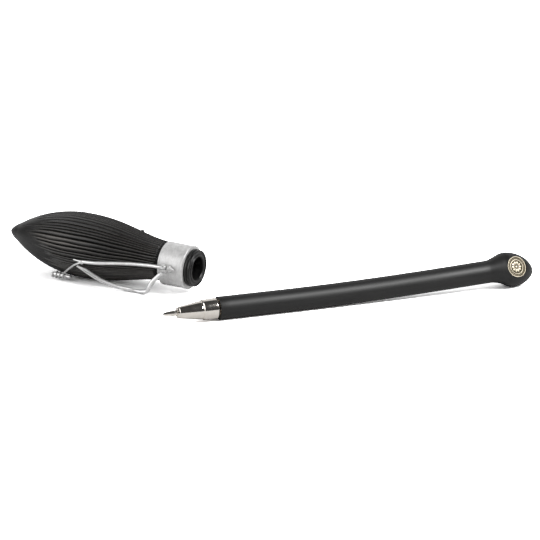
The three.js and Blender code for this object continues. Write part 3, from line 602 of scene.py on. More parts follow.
def lacquer():
    """Soft matt black coating with a faint orange peel, dust-fine grain and rubbed patches."""
    look = Look("soft_black_coating", grey(0.006, 0.02), 0.48, Specular_IOR_Level=0.5)
    patches = look.noise(PEN, 0.35, 4.0, stretch=(0.12, 1, 1))
    grain = look.noise(PEN, 9.0, 2.0)
    look.colour(patches, (0.35, grey(0.0045, 0.02)), (0.7, grey(0.0085, 0.03)))
    look.rough(look.blend(patches, grain, 0.6), 0.44, 0.54, 0.3, 0.7)
    look.relief(grain, 0.006, 0.5, look.bump(look.noise(PEN, 1.3, 2.0), 0.02, 0.35))
    return look.material


def bristle():
    """Moulded black plastic with fine hair lines along the strands, and a painted highlight along the crests and
    on a patch of the upper near side.
    """
    look = Look("moulded_black_bristle", grey(0.009, 0.05), 0.33, Specular_IOR_Level=0.41)
    hairs = look.noise(CAP, 3.2, 4.0, 0.6, (0.05, 1, 1))
    mixed = look.blend(hairs, look.noise(CAP, 0.22), 0.65)
    # The crest attribute holds the painted highlight made with the head's shape.
    painted_highlight = look.node("Attribute", attribute_name="crest_highlight").outputs["Fac"]
    look.colour(look.blend(mixed, painted_highlight, 0.5), (0.2, grey(0.004, 0.04)), (0.42, grey(0.008, 0.07)),
                (0.8, grey(0.05, 0.09)), (1.0, grey(0.085, 0.1)))
    look.rough(mixed, 0.27, 0.4)
    look.relief(hairs, 0.035, 0.6, look.bump(look.noise(CAP, 7.0, 2.0), 0.008, 0.5))
    return look.material


def socket_plastic():
    """Dark moulded plastic, a little dull, with faint turning lines."""
    look = Look("dark_moulded_plastic", grey(0.007), 0.36, Specular_IOR_Level=0.4)
    cloud = look.noise(CAP, 0.8)
    lines = look.noise(CAP, 6.0, 2.0, stretch=(1, 0.04, 0.04))
    look.colour(cloud, (0.35, grey(0.005)), (0.65, grey(0.009, 0.02)))
    look.rough(cloud, 0.28, 0.42)
    look.relief(look.maths("ADD", lines, look.noise(CAP, 8.0, 2.0)), 0.008, 0.6)
    return look.material


def cast_silver(shade_tone=1.0, name="satin_cast_silver"):
    """Satin silver-plated casting: fine tumbled grain, faint clouding and short drawn scratches. A tone below 1
    is a darker copy of the same silver, as painted shade.
    """
    look = Look(name, grey(0.57 * shade_tone), 0.5, 0.42)
    cloud = look.noise(CAP, 0.55, 4.0, 0.6)
    drawn = look.noise(CAP, 5.0, 3.0, 0.6, (1, 0.18, 0.18))
    mixed = look.blend(cloud, drawn, 0.55)
    look.colour(mixed, (0.34, grey(0.47 * shade_tone, 0.01)), (0.52, grey(0.6 * shade_tone, 0.005)),
                (0.68, grey(0.71 * shade_tone)))
    look.rough(mixed, 0.4, 0.56)
    look.relief(drawn, 0.015, 0.5, look.bump(look.noise(CAP, 4.5), 0.03, 0.5))
    return look.material


def bright_wire(place, name="bright_wire"):
    """Polished plated wire with hair-fine drawing lines along it and slight dulling."""
    look = Look(name, grey(0.78), 0.33, 0.8)
    dull = look.noise(place, 0.6)
    look.colour(dull, (0.3, grey(0.7, 0.01)), (0.65, grey(0.84)))
    look.rough(dull, 0.3, 0.4)
    look.relief(look.noise(place, 5.0, 1.0, stretch=(0.06, 1, 1)), 0.002, 0.3)
    return look.material


def nickel():
    """Polished warm nickel with fine turning rings and a few tarnished clouds."""
    look = Look("polished_nickel", grey(0.88, 0.05), 0.09, 1.0)
    cloud = look.noise(PEN, 0.5)
    rings = look.noise(PEN, 8.0, stretch=(1, 0.02, 0.02))
    look.colour(cloud, (0.3, (0.86, 0.81, 0.75)), (0.65, (0.95, 0.9, 0.84)))
    look.rough(look.blend(cloud, rings, 0.5), 0.06, 0.16)
    look.relief(rings, 0.003, 0.35)
    return look.material


def brass(place, depth, name):
    """Brass that is bright where it stands out and dark with age in its hollows."""
    look = Look(name, (0.62, 0.5, 0.29), 0.28, 1.0)
    cloud = look.noise(place, 1.6, 4.0)
    if depth:
        height = look.node("SeparateXYZ", {"Vector": look.local(place)}).outputs["Z"]
        aged = look.maths("ADD", look.spread(height, 0.0, 0.85, *depth), look.maths("MULTIPLY", cloud, 0.3))
    else:
        aged = look.maths("ADD", look.maths("MULTIPLY", cloud, 0.6), 0.4)
    look.colour(aged, (0.12, (0.02, 0.016, 0.01)), (0.5, (0.17, 0.145, 0.1)), (0.85, (0.6, 0.54, 0.42)))
    look.rough(aged, 0.6, 0.36, 0.2, 0.9)
    look.relief(look.noise(place, 7.0), 0.005, 0.4)
    return look.material


def refill_steel():
    """Drawn steel tube with long faint lines and a slight warm cast."""
    look = Look("drawn_refill_steel", (0.5, 0.49, 0.47), 0.27, 1.0)
    lines = look.noise(PEN, 6.0, stretch=(0.03, 1, 1))
    look.colour(lines, (0.35, (0.42, 0.415, 0.4)), (0.65, (0.58, 0.57, 0.545)))
    look.rough(lines, 0.2, 0.36)
    look.relief(lines, 0.01, 0.5)
    return look.material


def carbide():
    """Ground dark carbide with ink film in patches."""
    look = Look("ground_carbide", grey(0.3), 0.12, 1.0)
    film = look.noise(PEN, 2.5)
    look.colour(film, (0.4, (0.06, 0.07, 0.14)), (0.58, (0.33, 0.335, 0.34)))
    look.rough(film, 0.35, 0.1, 0.4, 0.6)
    return look.material


def pale_plastic():
    """Milky moulded plastic, slightly clouded."""
    look = Look("milky_plastic", (0.7, 0.69, 0.65), 0.4, Subsurface_Weight=0.1)
    cloud = look.noise(PEN, 0.9)
    look.colour(cloud, (0.3, (0.62, 0.61, 0.57)), (0.7, (0.74, 0.73, 0.69)))
    look.relief(cloud, 0.02, 0.4)
    return look.material


def ink():
    """Thick blue-black ink with lighter streaks where it thins."""
    look = Look("thick_ink", (0.01, 0.014, 0.06), 0.15)
    streaks = look.noise(PEN, 1.5, stretch=(0.1, 1, 1))
    look.colour(streaks, (0.35, (0.006, 0.008, 0.035)), (0.7, (0.018, 0.028, 0.12)))
    look.rough(streaks, 0.1, 0.25, 0, 1)
    return look.material


def rubber():
    """Matt black rubber with a fine grain."""
    look = Look("matt_rubber", grey(0.014), 0.75, Specular_IOR_Level=0.3)
    grain = look.noise(CAP, 6.0)
    look.colour(grain, (0.35, grey(0.011)), (0.65, grey(0.019)))
    look.relief(grain, 0.02, 0.6)
    return look.material


# Pen

HANDLE_KNOTS = [
    (handle_front + HANDLE_STRAIGHT, 0, 0),
    (neck_at, KNOB_RADIUS - HANDLE_RADIUS + NECK_ARCH, NECK_SLOPE),
    (knob_at, KNOB_RADIUS - HANDLE_RADIUS, KNOB_SLOPE),
    (handle_end, KNOB_RADIUS - HANDLE_RADIUS - END_DROOP, END_SLOPE),
]


def handle_line(along):
    """Height of the handle's centre line above the bore, and its slope."""
    if along <= HANDLE_KNOTS[0][0]:
        return 0.0, 0.0
    for a, b in zip(HANDLE_KNOTS, HANDLE_KNOTS[1:]):
        if along <= b[0] + 1e-9:
            span = b[0] - a[0]
            u = (along - a[0]) / span
            v = 1 - u
            height = (a[1] * v * v * (1 + 2 * u) + b[1] * u * u * (3 - 2 * u)
                      + (a[2] * v - b[2] * u) * span * u * v)
            slope = (b[1] - a[1]) * 6 * u * v / span + a[2] * v * (1 - 3 * u) + b[2] * u * (3 * u - 2)
            return height, slope
    return HANDLE_KNOTS[-1][1:]


def handle_radius(along):
    if along >= knob_at:
        u = (along - knob_at) / (handle_end - knob_at)
        return KNOB_RADIUS * max(1 - u ** DOME_FULLNESS, 0) ** DOME_BLUNTNESS
    if along >= flare_start:
        u = (along - flare_start) / KNOB_FLARE
        return lerp(NECK_RADIUS, KNOB_RADIUS, smoothstep(u ** FLARE_LEAN))
    u = (along - handle_front) / (flare_start - handle_front)
    return lerp(HANDLE_RADIUS, NECK_RADIUS, u ** 2)


def handle_ring(along, radius):
    """A ring of the handle. It rises in a ramp beside the medallion, and the knob leans to the floor."""
    height, slope = handle_line(along)
    lean = atan(slope)
    before_knob = along - knob_at
    climbed = max(0, before_knob + RAMP_LENGTH) / (RAMP_LENGTH - RAMP_END)
    ramp = lerp(HANDLE_RADIUS, RAMP_RADIUS, climbed ** RAMP_CURVE)
    ramped = smoothstep((before_knob + RAMP_LENGTH + 1) / 4)
    ramped *= 1 - smoothstep((before_knob + RAMP_END) / RAMP_END)
    under = KNOB_LEAN * smoothstep((along - flare_start + 3) / KNOB_FLARE)
    under *= 1 - smoothstep(before_knob / (handle_end - knob_at))
    ring = []
    for angle in turns_of(HANDLE_SIDES):
        toward = max(0, sin(angle + radians(MEDAL_RAISE)))
        reach = lerp(radius, ramp, ramped * toward ** 2)
        up = reach * cos(angle)
        forward = under * max(-cos(angle), 0) ** 1.5
        ring.append((along + forward - up * sin(lean), -reach * sin(angle),
                     height + up * cos(lean)))
    return ring


def medal_frame():
    """The medallion's frame: +Z out of the knob, from the floor of its pocket."""
    raised = radians(MEDAL_RAISE)
    turn = radians(MEDAL_TURN)
    out = Vector((cos(raised) * sin(turn), -cos(raised) * cos(turn), sin(raised)))
    along = (Vector((1, 0, 0)) - out * out.x).normalized()
    middle = knob_at + MEDAL_SHIFT
    place = Vector((middle, 0, handle_line(middle)[0])) + out * MEDAL_SEAT
    return PEN @ placed((along, out.cross(along), out), place * MM)


MEDAL = medal_frame()


def handle_shell():
    """The bore from its closed end, the rounded mouth, the outside and the end of the knob."""
    bush_room = bush_radius + SLIDE_FIT
    bore_end = REFILL_LENGTH + BORE_END_GAP
    bush_end = handle_front + BUSH_LENGTH + FACE_GAP * 2
    outline = [(bore_end, 0.01), (bore_end, bore_radius), (bush_end, bore_radius), (bush_end, bush_room),
               (handle_front + MOUTH_CHAMFER, bush_room), (handle_front, bush_room + MOUTH_CHAMFER)]
    for k in range(4):
        bend = k / 3 * pi / 2
        outline.append((handle_front + MOUTH_EDGE * (1 - cos(bend)),
                        HANDLE_RADIUS - MOUTH_EDGE * (1 - sin(bend))))
    marks = ((handle_front, 0), (handle_front + BUSH_LENGTH, 2), (HANDLE_KNOTS[0][0], 6), (flare_start, 60),
             (knob_at, 26))
    stations = []
    for (a, _), (b, count) in zip(marks, marks[1:]):
        stations += [lerp(a, b, k / count) for k in range(1, count + 1)]
    stations += [lerp(knob_at, handle_end, sin(k / 34 * pi / 2)) for k in range(1, 34)]
    outline += [(along, handle_radius(along)) for along in stations]
    outline.append((handle_end - 0.01, 0.12))
    return rings_shell([handle_ring(along, radius) for along, radius in outline])


def make_handle():
    made = piece("handle_body", handle_shell(), PEN, 40)
    wall = MEDAL_RADIUS + SLIDE_FIT
    pocket = [(0, 0), (0, wall), (POCKET_DEPTH, wall), (2.4, MEDAL_RADIUS + 0.55), (5, MEDAL_RADIUS + 1.6),
              (5, 0)]
    cutter = piece("cutter", turned_shell(pocket), MEDAL @ Matrix.Rotation(-pi / 2, 4, "Y"), 30)
    cut = made.modifiers.new("pocket", "BOOLEAN")
    cut.operation = "DIFFERENCE"
    cut.solver = "EXACT"
    cut.object = cutter
    bpy.context.view_layer.objects.active = made
    bpy.ops.object.modifier_apply(modifier=cut.name)
    bpy.data.objects.remove(cutter)
    smoothed(made.data, 28)
    finish_piece(made, lacquer(), "pen", "black_lacquer", "handle")


def medal_height(radius, angle):
    """Relief of the badge above its field: rim, ring, beads, petals and a boss."""
    def ridge(inner, outer, soft=0.07):
        return smoothstep((radius - inner) / soft + 0.5) * (1 - smoothstep((radius - outer) / soft + 0.5))

    rim_inner = MEDAL_RADIUS - 0.3
    ring_outer = rim_inner * 0.76
    ring_inner = ring_outer - 0.3
    reach = ring_inner * 0.88
    bead_at = (rim_inner + ring_outer) / 2
    swing = abs(sin(angle * MEDAL_BEADS / 2)) * bead_at * 2 / MEDAL_BEADS
    gap = hypot(radius - bead_at, bead_at * pi / MEDAL_BEADS - swing * 1.55)
    boss = sqrt(max(1 - (radius / (reach * 0.24)) ** 2, 0))
    heights = [1.25 * ridge(rim_inner, 99), ridge(ring_inner, ring_outer), 0.75 * smoothstep((0.2 - gap) / 0.12),
               1.15 * boss]
    along = radius / reach
    if 0.2 < along < 1:
        belly = sin(pi * ((along - 0.2) / 0.8) ** 1.35)
        width = (cos(angle * MEDAL_PETALS) + 1) / 2
        heights.append(smoothstep((belly * 1.1 - (1 - width)) / 0.35) * (0.7 + 0.35 * belly))
    return max(heights)


def make_medallion():
    face = FACE_GAP + MEDAL_THICKNESS - MEDAL_RELIEF
    top = face + MEDAL_RELIEF * 0.8
    angles = turns_of(240)
    steps = 84
    rings = [[(0, 0, face + MEDAL_RELIEF * medal_height(0, 0))] * len(angles)]
    for k in range(1, steps):
        radius = MEDAL_RADIUS * k / steps
        rings.append([(radius * cos(a), radius * sin(a), lerp(face, top, medal_height(radius, a)))
                      for a in angles])
    for height in (face + MEDAL_RELIEF * 0.7, FACE_GAP):
        rings.append([(MEDAL_RADIUS * cos(a), MEDAL_RADIUS * sin(a), height) for a in angles])
    dressed("medallion_relief", rings_shell(rings), MEDAL, 50,
            brass(MEDAL, (face - 0.02, top), "aged_brass"), "pen", "brass", "medallion")


def threaded(front, back, radius, outward):
    """A shape function that cuts a right-hand screw thread between two places, fading at both ends."""
    def shape(along, r, angle):
        if abs(r - radius) > 1e-4 or not front < along < back:
            return r
        turn = (along / THREAD_PITCH - angle / (TURN)) % 1
        wave = abs(2 * turn - 1)
        fade = smoothstep((along - front) / 0.5) * smoothstep((back - along) / 0.5)
        return r - outward * THREAD_DEPTH * fade * min(1, max(0, 1.25 * (1 - wave) - 0.1))
    return shape


def thread_line(start, end, radius):
    """The part of an outline that a thread is cut in, with its start."""
    return [(start, radius)] + [(along, radius) for along in along_steps(start, end, THREAD_PITCH / 10)]


def make_nose():
    guide = POINT_RADIUS + SLIDE_FIT
    spring_room = SPRING_RADIUS + SPRING_WIRE / 2 + SLIDE_FIT * 2
    refill_room = REFILL_RADIUS + SLIDE_FIT
    wall = POINT_REACH + NOSE_LIP
    groove = CONE_BACK_RADIUS - GROOVE_DEPTH
    thread_front = nose_back + 0.5
    thread_back = spigot_end - 0.3
    inside = [(POINT_REACH, guide), (wall, guide), (wall, spring_room), (neck_front - FACE_GAP, spring_room),
              (REFILL_SHOULDER - FACE_GAP * 2, refill_room), (spigot_end, refill_room)]
    spigot = [(spigot_end, SPIGOT_RADIUS - 0.25), *thread_line(thread_back, thread_front, SPIGOT_RADIUS),
              *steps_from(nose_back, SPIGOT_RADIUS, (0.5, 0), (0.4, -0.3))]
    outside = [(nose_back, SPIGOT_RADIUS - 0.3), *steps_from(nose_back, BAND_BACK_RADIUS, (0, -0.3), (-0.6, 0)),
               *steps_from(band_front, BAND_FRONT_RADIUS, (0.25, 0), (0, -0.25)),
               (band_front, groove), (cone_back, groove),
               *steps_from(cone_back, CONE_BACK_RADIUS, (0, -0.03), (-0.03, 0)),
               *steps_from(POINT_REACH, CONE_MOUTH_RADIUS, (0.9, 0.1), (0.75, -0.08), (0.12, -0.12))]
    profile = rounded(inside + spigot[:1], 0.05)[:-4] + spigot + rounded(outside, 0.04)
    shell = turned_shell(profile, 128, threaded(thread_front, thread_back, SPIGOT_RADIUS, 1))
    dressed("nose_shell", shell, PEN, 35, nickel(), "nose", "nickel", "nose_cone")


def make_point():
    socket = BALL_RADIUS + 0.03
    lip_inner = sqrt(socket ** 2 - (BALL_RADIUS - BALL_SHOWS) ** 2)
    seat = sqrt(socket ** 2 - POINT_FEED_RADIUS ** 2)
    stem_end = neck_front + POINT_STEM
    stem = POINT_COLLAR_RADIUS - SLIDE_FIT
    collar_back_face = neck_front - FACE_GAP
    collar_front_face = POINT_REACH + NOSE_LIP
    cone_end = BALL_SHOWS + POINT_CONE
    seat_arc = arc(BALL_RADIUS, socket, atan2(lip_inner, BALL_SHOWS - BALL_RADIUS),
                   atan2(POINT_FEED_RADIUS, seat), 10)
    outside = [(stem_end, POINT_FEED_RADIUS), (stem_end, stem), (collar_back_face, stem),
               (collar_back_face, POINT_COLLAR_RADIUS), (collar_front_face + 1, POINT_COLLAR_RADIUS),
               (collar_front_face, POINT_RADIUS), (cone_end + 0.5, POINT_RADIUS), (cone_end, POINT_RADIUS - 0.04),
               *steps_from(BALL_SHOWS, lip_inner, (1.2, 0.33), (0.08, 0.12), (-0.02, 0.04))]
    dressed("point_shell", turned_shell(seat_arc + rounded(outside, 0.06), 64), PEN, 35,
            nickel(), "refill", "nickel", "refill_point")


def make_ball():
    shell = turned_shell(arc(BALL_RADIUS, BALL_RADIUS, pi, 0, 24), 48)
    dressed("ball_ground", shell, PEN, 32, carbide(), "ball", "carbide", "writing_ball")


def make_refill():
    crimp = steps_from(crown_front, REFILL_RADIUS, (-1.6, 0), (-1.9, -0.15), (-2.3, -0.15), (-2.6, 0))
    profile = [(neck_front, POINT_COLLAR_RADIUS), (REFILL_SHOULDER, POINT_COLLAR_RADIUS),
               (REFILL_SHOULDER + REFILL_WALL, tube_bore), (crown_front, tube_bore), (crown_front, REFILL_RADIUS),
               *crimp, (REFILL_SHOULDER, REFILL_RADIUS), (neck_front, POINT_COLLAR_RADIUS + REFILL_WALL)]
    dressed("refill_shell", turned_shell(rounded(profile, 0.12), 72), PEN, 32,
            refill_steel(), "refill", "refill_steel", "refill_tube")


def make_bush():
    front = handle_front + FACE_GAP
    back = front + BUSH_LENGTH
    thread_front = front + 0.2
    profile = [(front, bush_bore + 0.2), *thread_line(thread_front, back, bush_bore), (back, bush_bore),
               (back, bush_radius), (front + 0.1, bush_radius), (front, bush_radius - 0.1)]
    dressed("bush_shell", turned_shell(profile, 96, threaded(thread_front, back, bush_bore, -1)), PEN, 35,
            brass(PEN, None, "turned_brass"), "pen", "brass", "barrel_bush")


def make_spring():
    """Its first and last turns lie close."""
    steps = 36
    close_pitch = SPRING_WIRE * 1.08
    open_pitch = (spring_back - spring_front - 2 * close_pitch) / (SPRING_TURNS - 2)
    line = []
    for i in range(SPRING_TURNS * steps + 1):
        turn = i / steps
        opened = min(max(turn - 1, 0), SPRING_TURNS - 2)
        closed = min(turn, 1) + max(turn - SPRING_TURNS + 1, 0)
        angle = TURN * turn
        line.append(Vector((spring_front + close_pitch * closed + open_pitch * opened,
                            SPRING_RADIUS * cos(angle), SPRING_RADIUS * sin(angle))))
    dressed("spring_wire", swept_shell(line, lambda u: SPRING_WIRE / 2, 12), PEN, 60,
            bright_wire(PEN, "spring_steel"), "refill", "bright_wire", "point_spring")


def dress_carried():
    """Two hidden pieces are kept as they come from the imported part."""
    for node, material in (("refill_crown", pale_plastic()), ("ink_column", ink())):
        carried = frame["nodes"][node]
        carried.data.materials.clear()
        carried.data.materials.append(material)


# Cap

def head_radius(along):
    if along < BELLY_FROM_TIP:
        u = 1 - along / BELLY_FROM_TIP
        tip = 2 * TIP_ROUND * along * max(1 - along / TIP_ROUND_LENGTH, 0)
        return hypot(BELLY_RADIUS * (1 - u ** TIP_FULLNESS) ** TIP_BLUNTNESS, sqrt(tip))
    v = (along - BELLY_FROM_TIP) / (HEAD_LENGTH - BELLY_FROM_TIP)
    return lerp(BELLY_RADIUS, HEAD_BACK_RADIUS, smoothstep(v ** BACK_TAPER))


def strands():
    """Where each groove runs round the head, how it wanders, how deep it is and where it begins."""
    dice = random.Random(11)
    widths = [dice.choice((0.7, 0.85, 1.0, 1.0, 1.15, 1.5)) for _ in range(STRANDS)]
    total = sum(widths)
    grooves = []
    at = 0.0
    for width in widths:
        angle = TURN * at / total
        facing = max(0, cos(angle - radians(235)))
        grooves.append((angle, dice.uniform(0.004, 0.012), dice.uniform(0, 6.28), dice.uniform(0.035, 0.07),
                        dice.uniform(0.55, 1.15), dice.uniform(5, 17) + 9 * facing, dice.uniform(10, 18)))
        at += width
    return grooves


def groove_at(groove, along):
    """Where a groove is round the head at this place along it, and how deep it is there."""
    angle, wander, phase, waves, deep, start, rise = groove
    fade = smoothstep((along - start) / rise) * (0.35 + 0.65 * head_radius(along) / BELLY_RADIUS)
    return angle + wander * sin(phase + along * waves * 6.28), deep * fade


def head_ring(along, grooves):
    """A ring of the head, and how much painted highlight each point gets: pale lines along the crests and a pale
    patch on the upper near side.
    """
    radius = head_radius(along)
    marks = [groove_at(groove, along) for groove in grooves]
    marks.append((marks[0][0] + TURN, marks[0][1]))
    ring = []
    painted_highlight = []
    for (left, left_deep), (right, right_deep) in zip(marks, marks[1:]):
        width = (right - left) * radius
        half = min(GROOVE_HALF_WIDTH, width * 0.2)
        for u in STRAND_STEPS:
            angle = lerp(left, right, u)
            deep = lerp(left_deep, right_deep, u)
            left_cut = bell(u * width / half)
            right_cut = bell((1 - u) * width / half)
            crown = STRAND_CROWN * deep * (2 * u - 1) ** 2 * min(width / 1.2, 1.4)
            from_nub = (along - NUB_AT) ** 4 + ((angle - radians(90 - NUB_TURN)) * radius) ** 4
            lift = NUB_HEIGHT * exp(-from_nub / NUB_HALF_LENGTH ** 4)
            out = radius - GROOVE_DEEP * (left_deep * left_cut + right_deep * right_cut) - crown + lift
            ring.append((along, out * cos(angle), out * sin(angle)))
            # Painted highlight: a patch on the upper near side, and lines along the crests that are paler where
            # the patch is.
            highlight_patch = bell((along - HIGHLIGHT_PATCH_AT) / HIGHLIGHT_PATCH_HALF_LENGTH)
            highlight_patch *= bell((degrees(angle) - HIGHLIGHT_PATCH_TURN) / HIGHLIGHT_PATCH_HALF_TURN)
            crest_highlight = min(1, deep * 1.6) * bell((u - 0.4) * width / 0.2)
            painted_highlight.append(crest_highlight * (1 + 0.6 * highlight_patch) + 0.8 * highlight_patch * max(0, 1 - left_cut - right_cut))
    return ring, painted_highlight


def make_head():
    grooves = strands()
    stations = [0.04, 0.15, 0.35, 0.65, 1.0, 1.5, 2.1, 2.8]
    for start, step, count in HEAD_STEPS:
        stations += [start + step * k for k in range(count)]
    rings = []
    painted_highlight = []
    for along in stations:
        ring, painted_highlight_ring = head_ring(along, grooves)
        rings.append(ring)
        painted_highlight += painted_highlight_ring
    for inset, step in ((0.12, 0.16), (0.4, 0.28)):
        flat = []
        for along, y, z in rings[-1]:
            keep = 1 - inset / hypot(y, z)
            flat.append((min(along + step, HEAD_LENGTH), y * keep, z * keep))
        rings.append(flat)
    angles = [atan2(z, y) for _, y, z in rings[-1]]
    neck_end = HEAD_LENGTH + NECK_SPIGOT_LENGTH
    bore_end = socket_end - SOCKET_FLOOR - FACE_GAP
    for along, radius in ((HEAD_LENGTH, NECK_SPIGOT_RADIUS), (neck_end, NECK_SPIGOT_RADIUS),
                          (neck_end, head_bore), (bore_end, head_bore), (bore_end, 0.05)):
        rings.append([(along, radius * cos(a), radius * sin(a)) for a in angles])
    made = dressed("fluted_head", rings_shell(rings), CAP, 50,
                   bristle(), "cap", "black_bristle", "bristle_head")
    # Each point keeps its painted highlight as an attribute for the material.
    crest_highlight = made.data.attributes.new("crest_highlight", "FLOAT", "POINT")
    crest_highlight.data.foreach_set("value", painted_highlight + [0.0] * (len(made.data.vertices) - len(painted_highlight)))


def drooped(shell):
    """The fitting hangs a little: its front lies lower than the axis of the head."""
    droop = FITTING_DROOP / (cap_mouth - collar_back)
    return mapped(shell, lambda x, y, z: (x, y, z - droop * max(x - collar_back, 0)))


def seamed(along, radius, angle):
    """The collar's two seams: one along its whole length, and one from the clip's boss."""
    if radius < COLLAR_BACK_RADIUS - 0.3 or along >= collar_front - COLLAR_BEAD_LENGTH:
        return radius
    cut = 0.0
    for turn, begins in ((pi, 0.0), (0.0, bracket_back + BRACKET_LENGTH)):
        away = remainder(angle - turn - pi / 2 - 0.028, TURN) * radius
        if along > begins:
            cut += SEAM_DEPTH * bell(away / SEAM_HALF_WIDTH)
    return radius - cut


def sagged(x, y, z):
    """The outside of the collar is a little deeper below than above."""
    if z >= 0 or hypot(y, z) <= collar_bore + FACE_GAP:
        return x, y, z
    return x, y, z * (1 + lerp(COLLAR_SAG_BACK, COLLAR_SAG_FRONT, (x - collar_back) / COLLAR_LENGTH))


def make_collar():
    bead_back = collar_front - COLLAR_BEAD_LENGTH
    bead = COLLAR_FRONT_RADIUS + COLLAR_BEAD
    profile = rounded([
        (collar_back, collar_bore), (collar_front, collar_bore),
        *steps_from(collar_front, bead, (0, -0.15), (-0.3, 0)), (bead_back + 0.25, bead),
        *steps_from(bead_back, COLLAR_FRONT_RADIUS, (0, -0.03), (-0.4, -0.01)),
        *steps_from(collar_back, COLLAR_BACK_RADIUS, (0.9, 0.03), (0.7, 0.12), (0.2, 0.1), (0, -0.1))], 0.12)
    lengthwise = []
    for (a, ra), (b, rb) in zip(profile, profile[1:] + profile[:1]):
        lengthwise.append((a, ra))
        if abs(b - a) > 1.2 and ra > COLLAR_BACK_RADIUS - 0.3:
            lengthwise += [(x, lerp(ra, rb, (x - a) / (b - a))) for x in along_steps(a, b, 0.35)]
    shell = drooped(mapped(turned_shell(lengthwise, 720, seamed), sagged))
    dressed("collar_casting", shell, CAP, 40, cast_silver(), "cap", "silver_cast", "collar")


def make_socket():
    back = collar_front + FACE_GAP
    ring_room = RING_SECTION + SLIDE_FIT
    groove = ring_middle + ring_room
    floor_back = socket_end - SOCKET_FLOOR
    lip = SOCKET_LIP_RADIUS
    profile = rounded([
        (floor_back, SOCKET_VENT_RADIUS), (socket_end, SOCKET_VENT_RADIUS), (socket_end, socket_nose_bore),
        (grip_end, socket_nose_bore), (grip_end, socket_bore), (ring_at - ring_room, socket_bore),
        (ring_at - ring_room, groove), (ring_at + ring_room, groove), (ring_at + ring_room, socket_bore),
        *steps_from(cap_mouth, socket_bore, (-0.4, 0), (-0.02, 0.3), (-0.02, 0.95), (-0.4, 1.15)),
        *steps_from(cap_mouth, lip, (-0.4, -0.95), (0, -0.8), (0, -0.35), (-0.25, -0.12)),
        *steps_from(back, lip, (1.7, -0.12), (1.55, -0.5), (1.3, -0.5), (1.15, 0), (0.2, 0), (0, -0.2)),
        (back, SOCKET_BODY_RADIUS), (floor_back, SOCKET_BODY_RADIUS)], 0.12)
    dressed("socket_liner", drooped(turned_shell(profile, 160)), CAP, 40,
            socket_plastic(), "cap", "black_socket", "cap_socket")


def make_grip_ring():
    profile = [(ring_at + RING_SECTION * cos(a), ring_middle + RING_SECTION * sin(a)) for a in turns_of(20)]
    dressed("grip_ring_rubber", drooped(turned_shell(profile, 128)), CAP, 32,
            rubber(), "cap", "black_rubber", "grip_ring")


# Clip

def clip_line(path, count):
    """Points along a clip path in the cap's frame."""
    return curve_points([Vector((pin_at - back, -out, up)) for back, out, up in path], count)


def on_pin(profile, middle, sides=64):
    """A closed outline of (up, radius) turned about the pin, with up counted from middle."""
    return mapped(turned_shell(profile, sides), lambda x, y, z: (pin_at + z, -PIN_OUT + y, middle + x))


def eye_outline(height):
    """The outline of a ring about the pin."""
    half = height / 2
    hole = PIN_RADIUS + SLIDE_FIT
    return [(-half, hole), (half, hole), (half, EYE_RADIUS), (-half, EYE_RADIUS)]


def rod_radius(u):
    """Thick from the upper eye on, and drawn down at its end."""
    return lerp(ROD_RADIUS, STUB_RADIUS, smoothstep((u - 0.86) / 0.1)) * round_end(max(u, 0.02), 0.008)


def hook_radius(u):
    return lerp(STRAP_WIRE, HOOK_RADIUS, smoothstep((u - 0.6) / 0.12))


def strap_side(line, whole):
    """One of the strap's two wires: the whole one goes on to the lower eye, the other ends before."""
    offset = []
    for i, here in enumerate(line):
        u = i / (len(line) - 1)
        if not whole and u > 0.64:
            break
        across = way_along(line, i).cross(from_axis(here)).normalized()
        spread = STRAP_SPREAD * smoothstep(u / 0.12)
        if whole:
            spread *= smoothstep((u - 0.58) / 0.08) - 1
        offset.append(here + across * spread)
    if whole:
        return swept_shell(offset, hook_radius)
    return swept_shell(offset, lambda u: STRAP_WIRE * round_end(u, 4.5 / len(offset)))


def make_frame():
    strap = clip_line(STRAP_PATH, 190)
    stem_root = clip_line(STEM_PATH, 2)[0]
    eye = rounded(eye_outline(EYE_HEIGHT), 0.42, 6)
    shell = joined([
        swept_shell(clip_line(ROD_PATH, 110), rod_radius),
        strap_side(strap, True),
        strap_side(strap, False),
        swept_shell(clip_line(STEM_PATH, 60), lambda u: STEM_RADIUS, 18),
        moved(turned_shell(arc(0, STEM_ROOT_RADIUS, pi, 0, 14), 28), stem_root),
        on_pin(eye, UPPER_EYE),
        on_pin(eye, LOWER_EYE),
    ])
    dressed("clip_wire", shell, CAP, 60, bright_wire(CAP), "clip", "bright_wire", "clip_frame")


def make_foot():
    """A short bar with a winding over more than half of it and a swell at its far end."""
    back, out, up = STEM_PATH[-1]
    half = FOOT_LENGTH / 2
    profile = [*steps_from(-half, 0, (0, 0), (0.05, 0.45), (0.5, 0.95), (1.2, 1.05)), (1.2, 1.0), (1.9, 0.62),
               *steps_from(half, 0, (-2.4, 0.6), (-1.7, 0.82), (-1.0, 0.9), (-0.45, 0.75), (-0.06, 0.35), (0, 0))]
    wound = []
    steps = 40
    for i in range(int(WINDING_TURNS * steps) + 1):
        turn = i / steps
        angle = TURN * turn + 2.4
        x = lerp(0.6 - half, 1.0, turn / WINDING_TURNS) + 0.45 * sin(angle)
        wound.append(Vector((x, WINDING_RADIUS * cos(angle), WINDING_RADIUS * sin(angle))))
    winding = swept_shell(wound, lambda u: 0.42 * round_end(u, 0.03), 14, 0.4 / 0.42)
    shell = moved(joined([turned_shell(profile, 40), winding]), Vector((pin_at - back, -out, up)))
    dressed("clip_foot_bar", shell, CAP, 60,
            bright_wire(CAP, "bright_foot"), "clip", "bright_wire", "clip_foot")


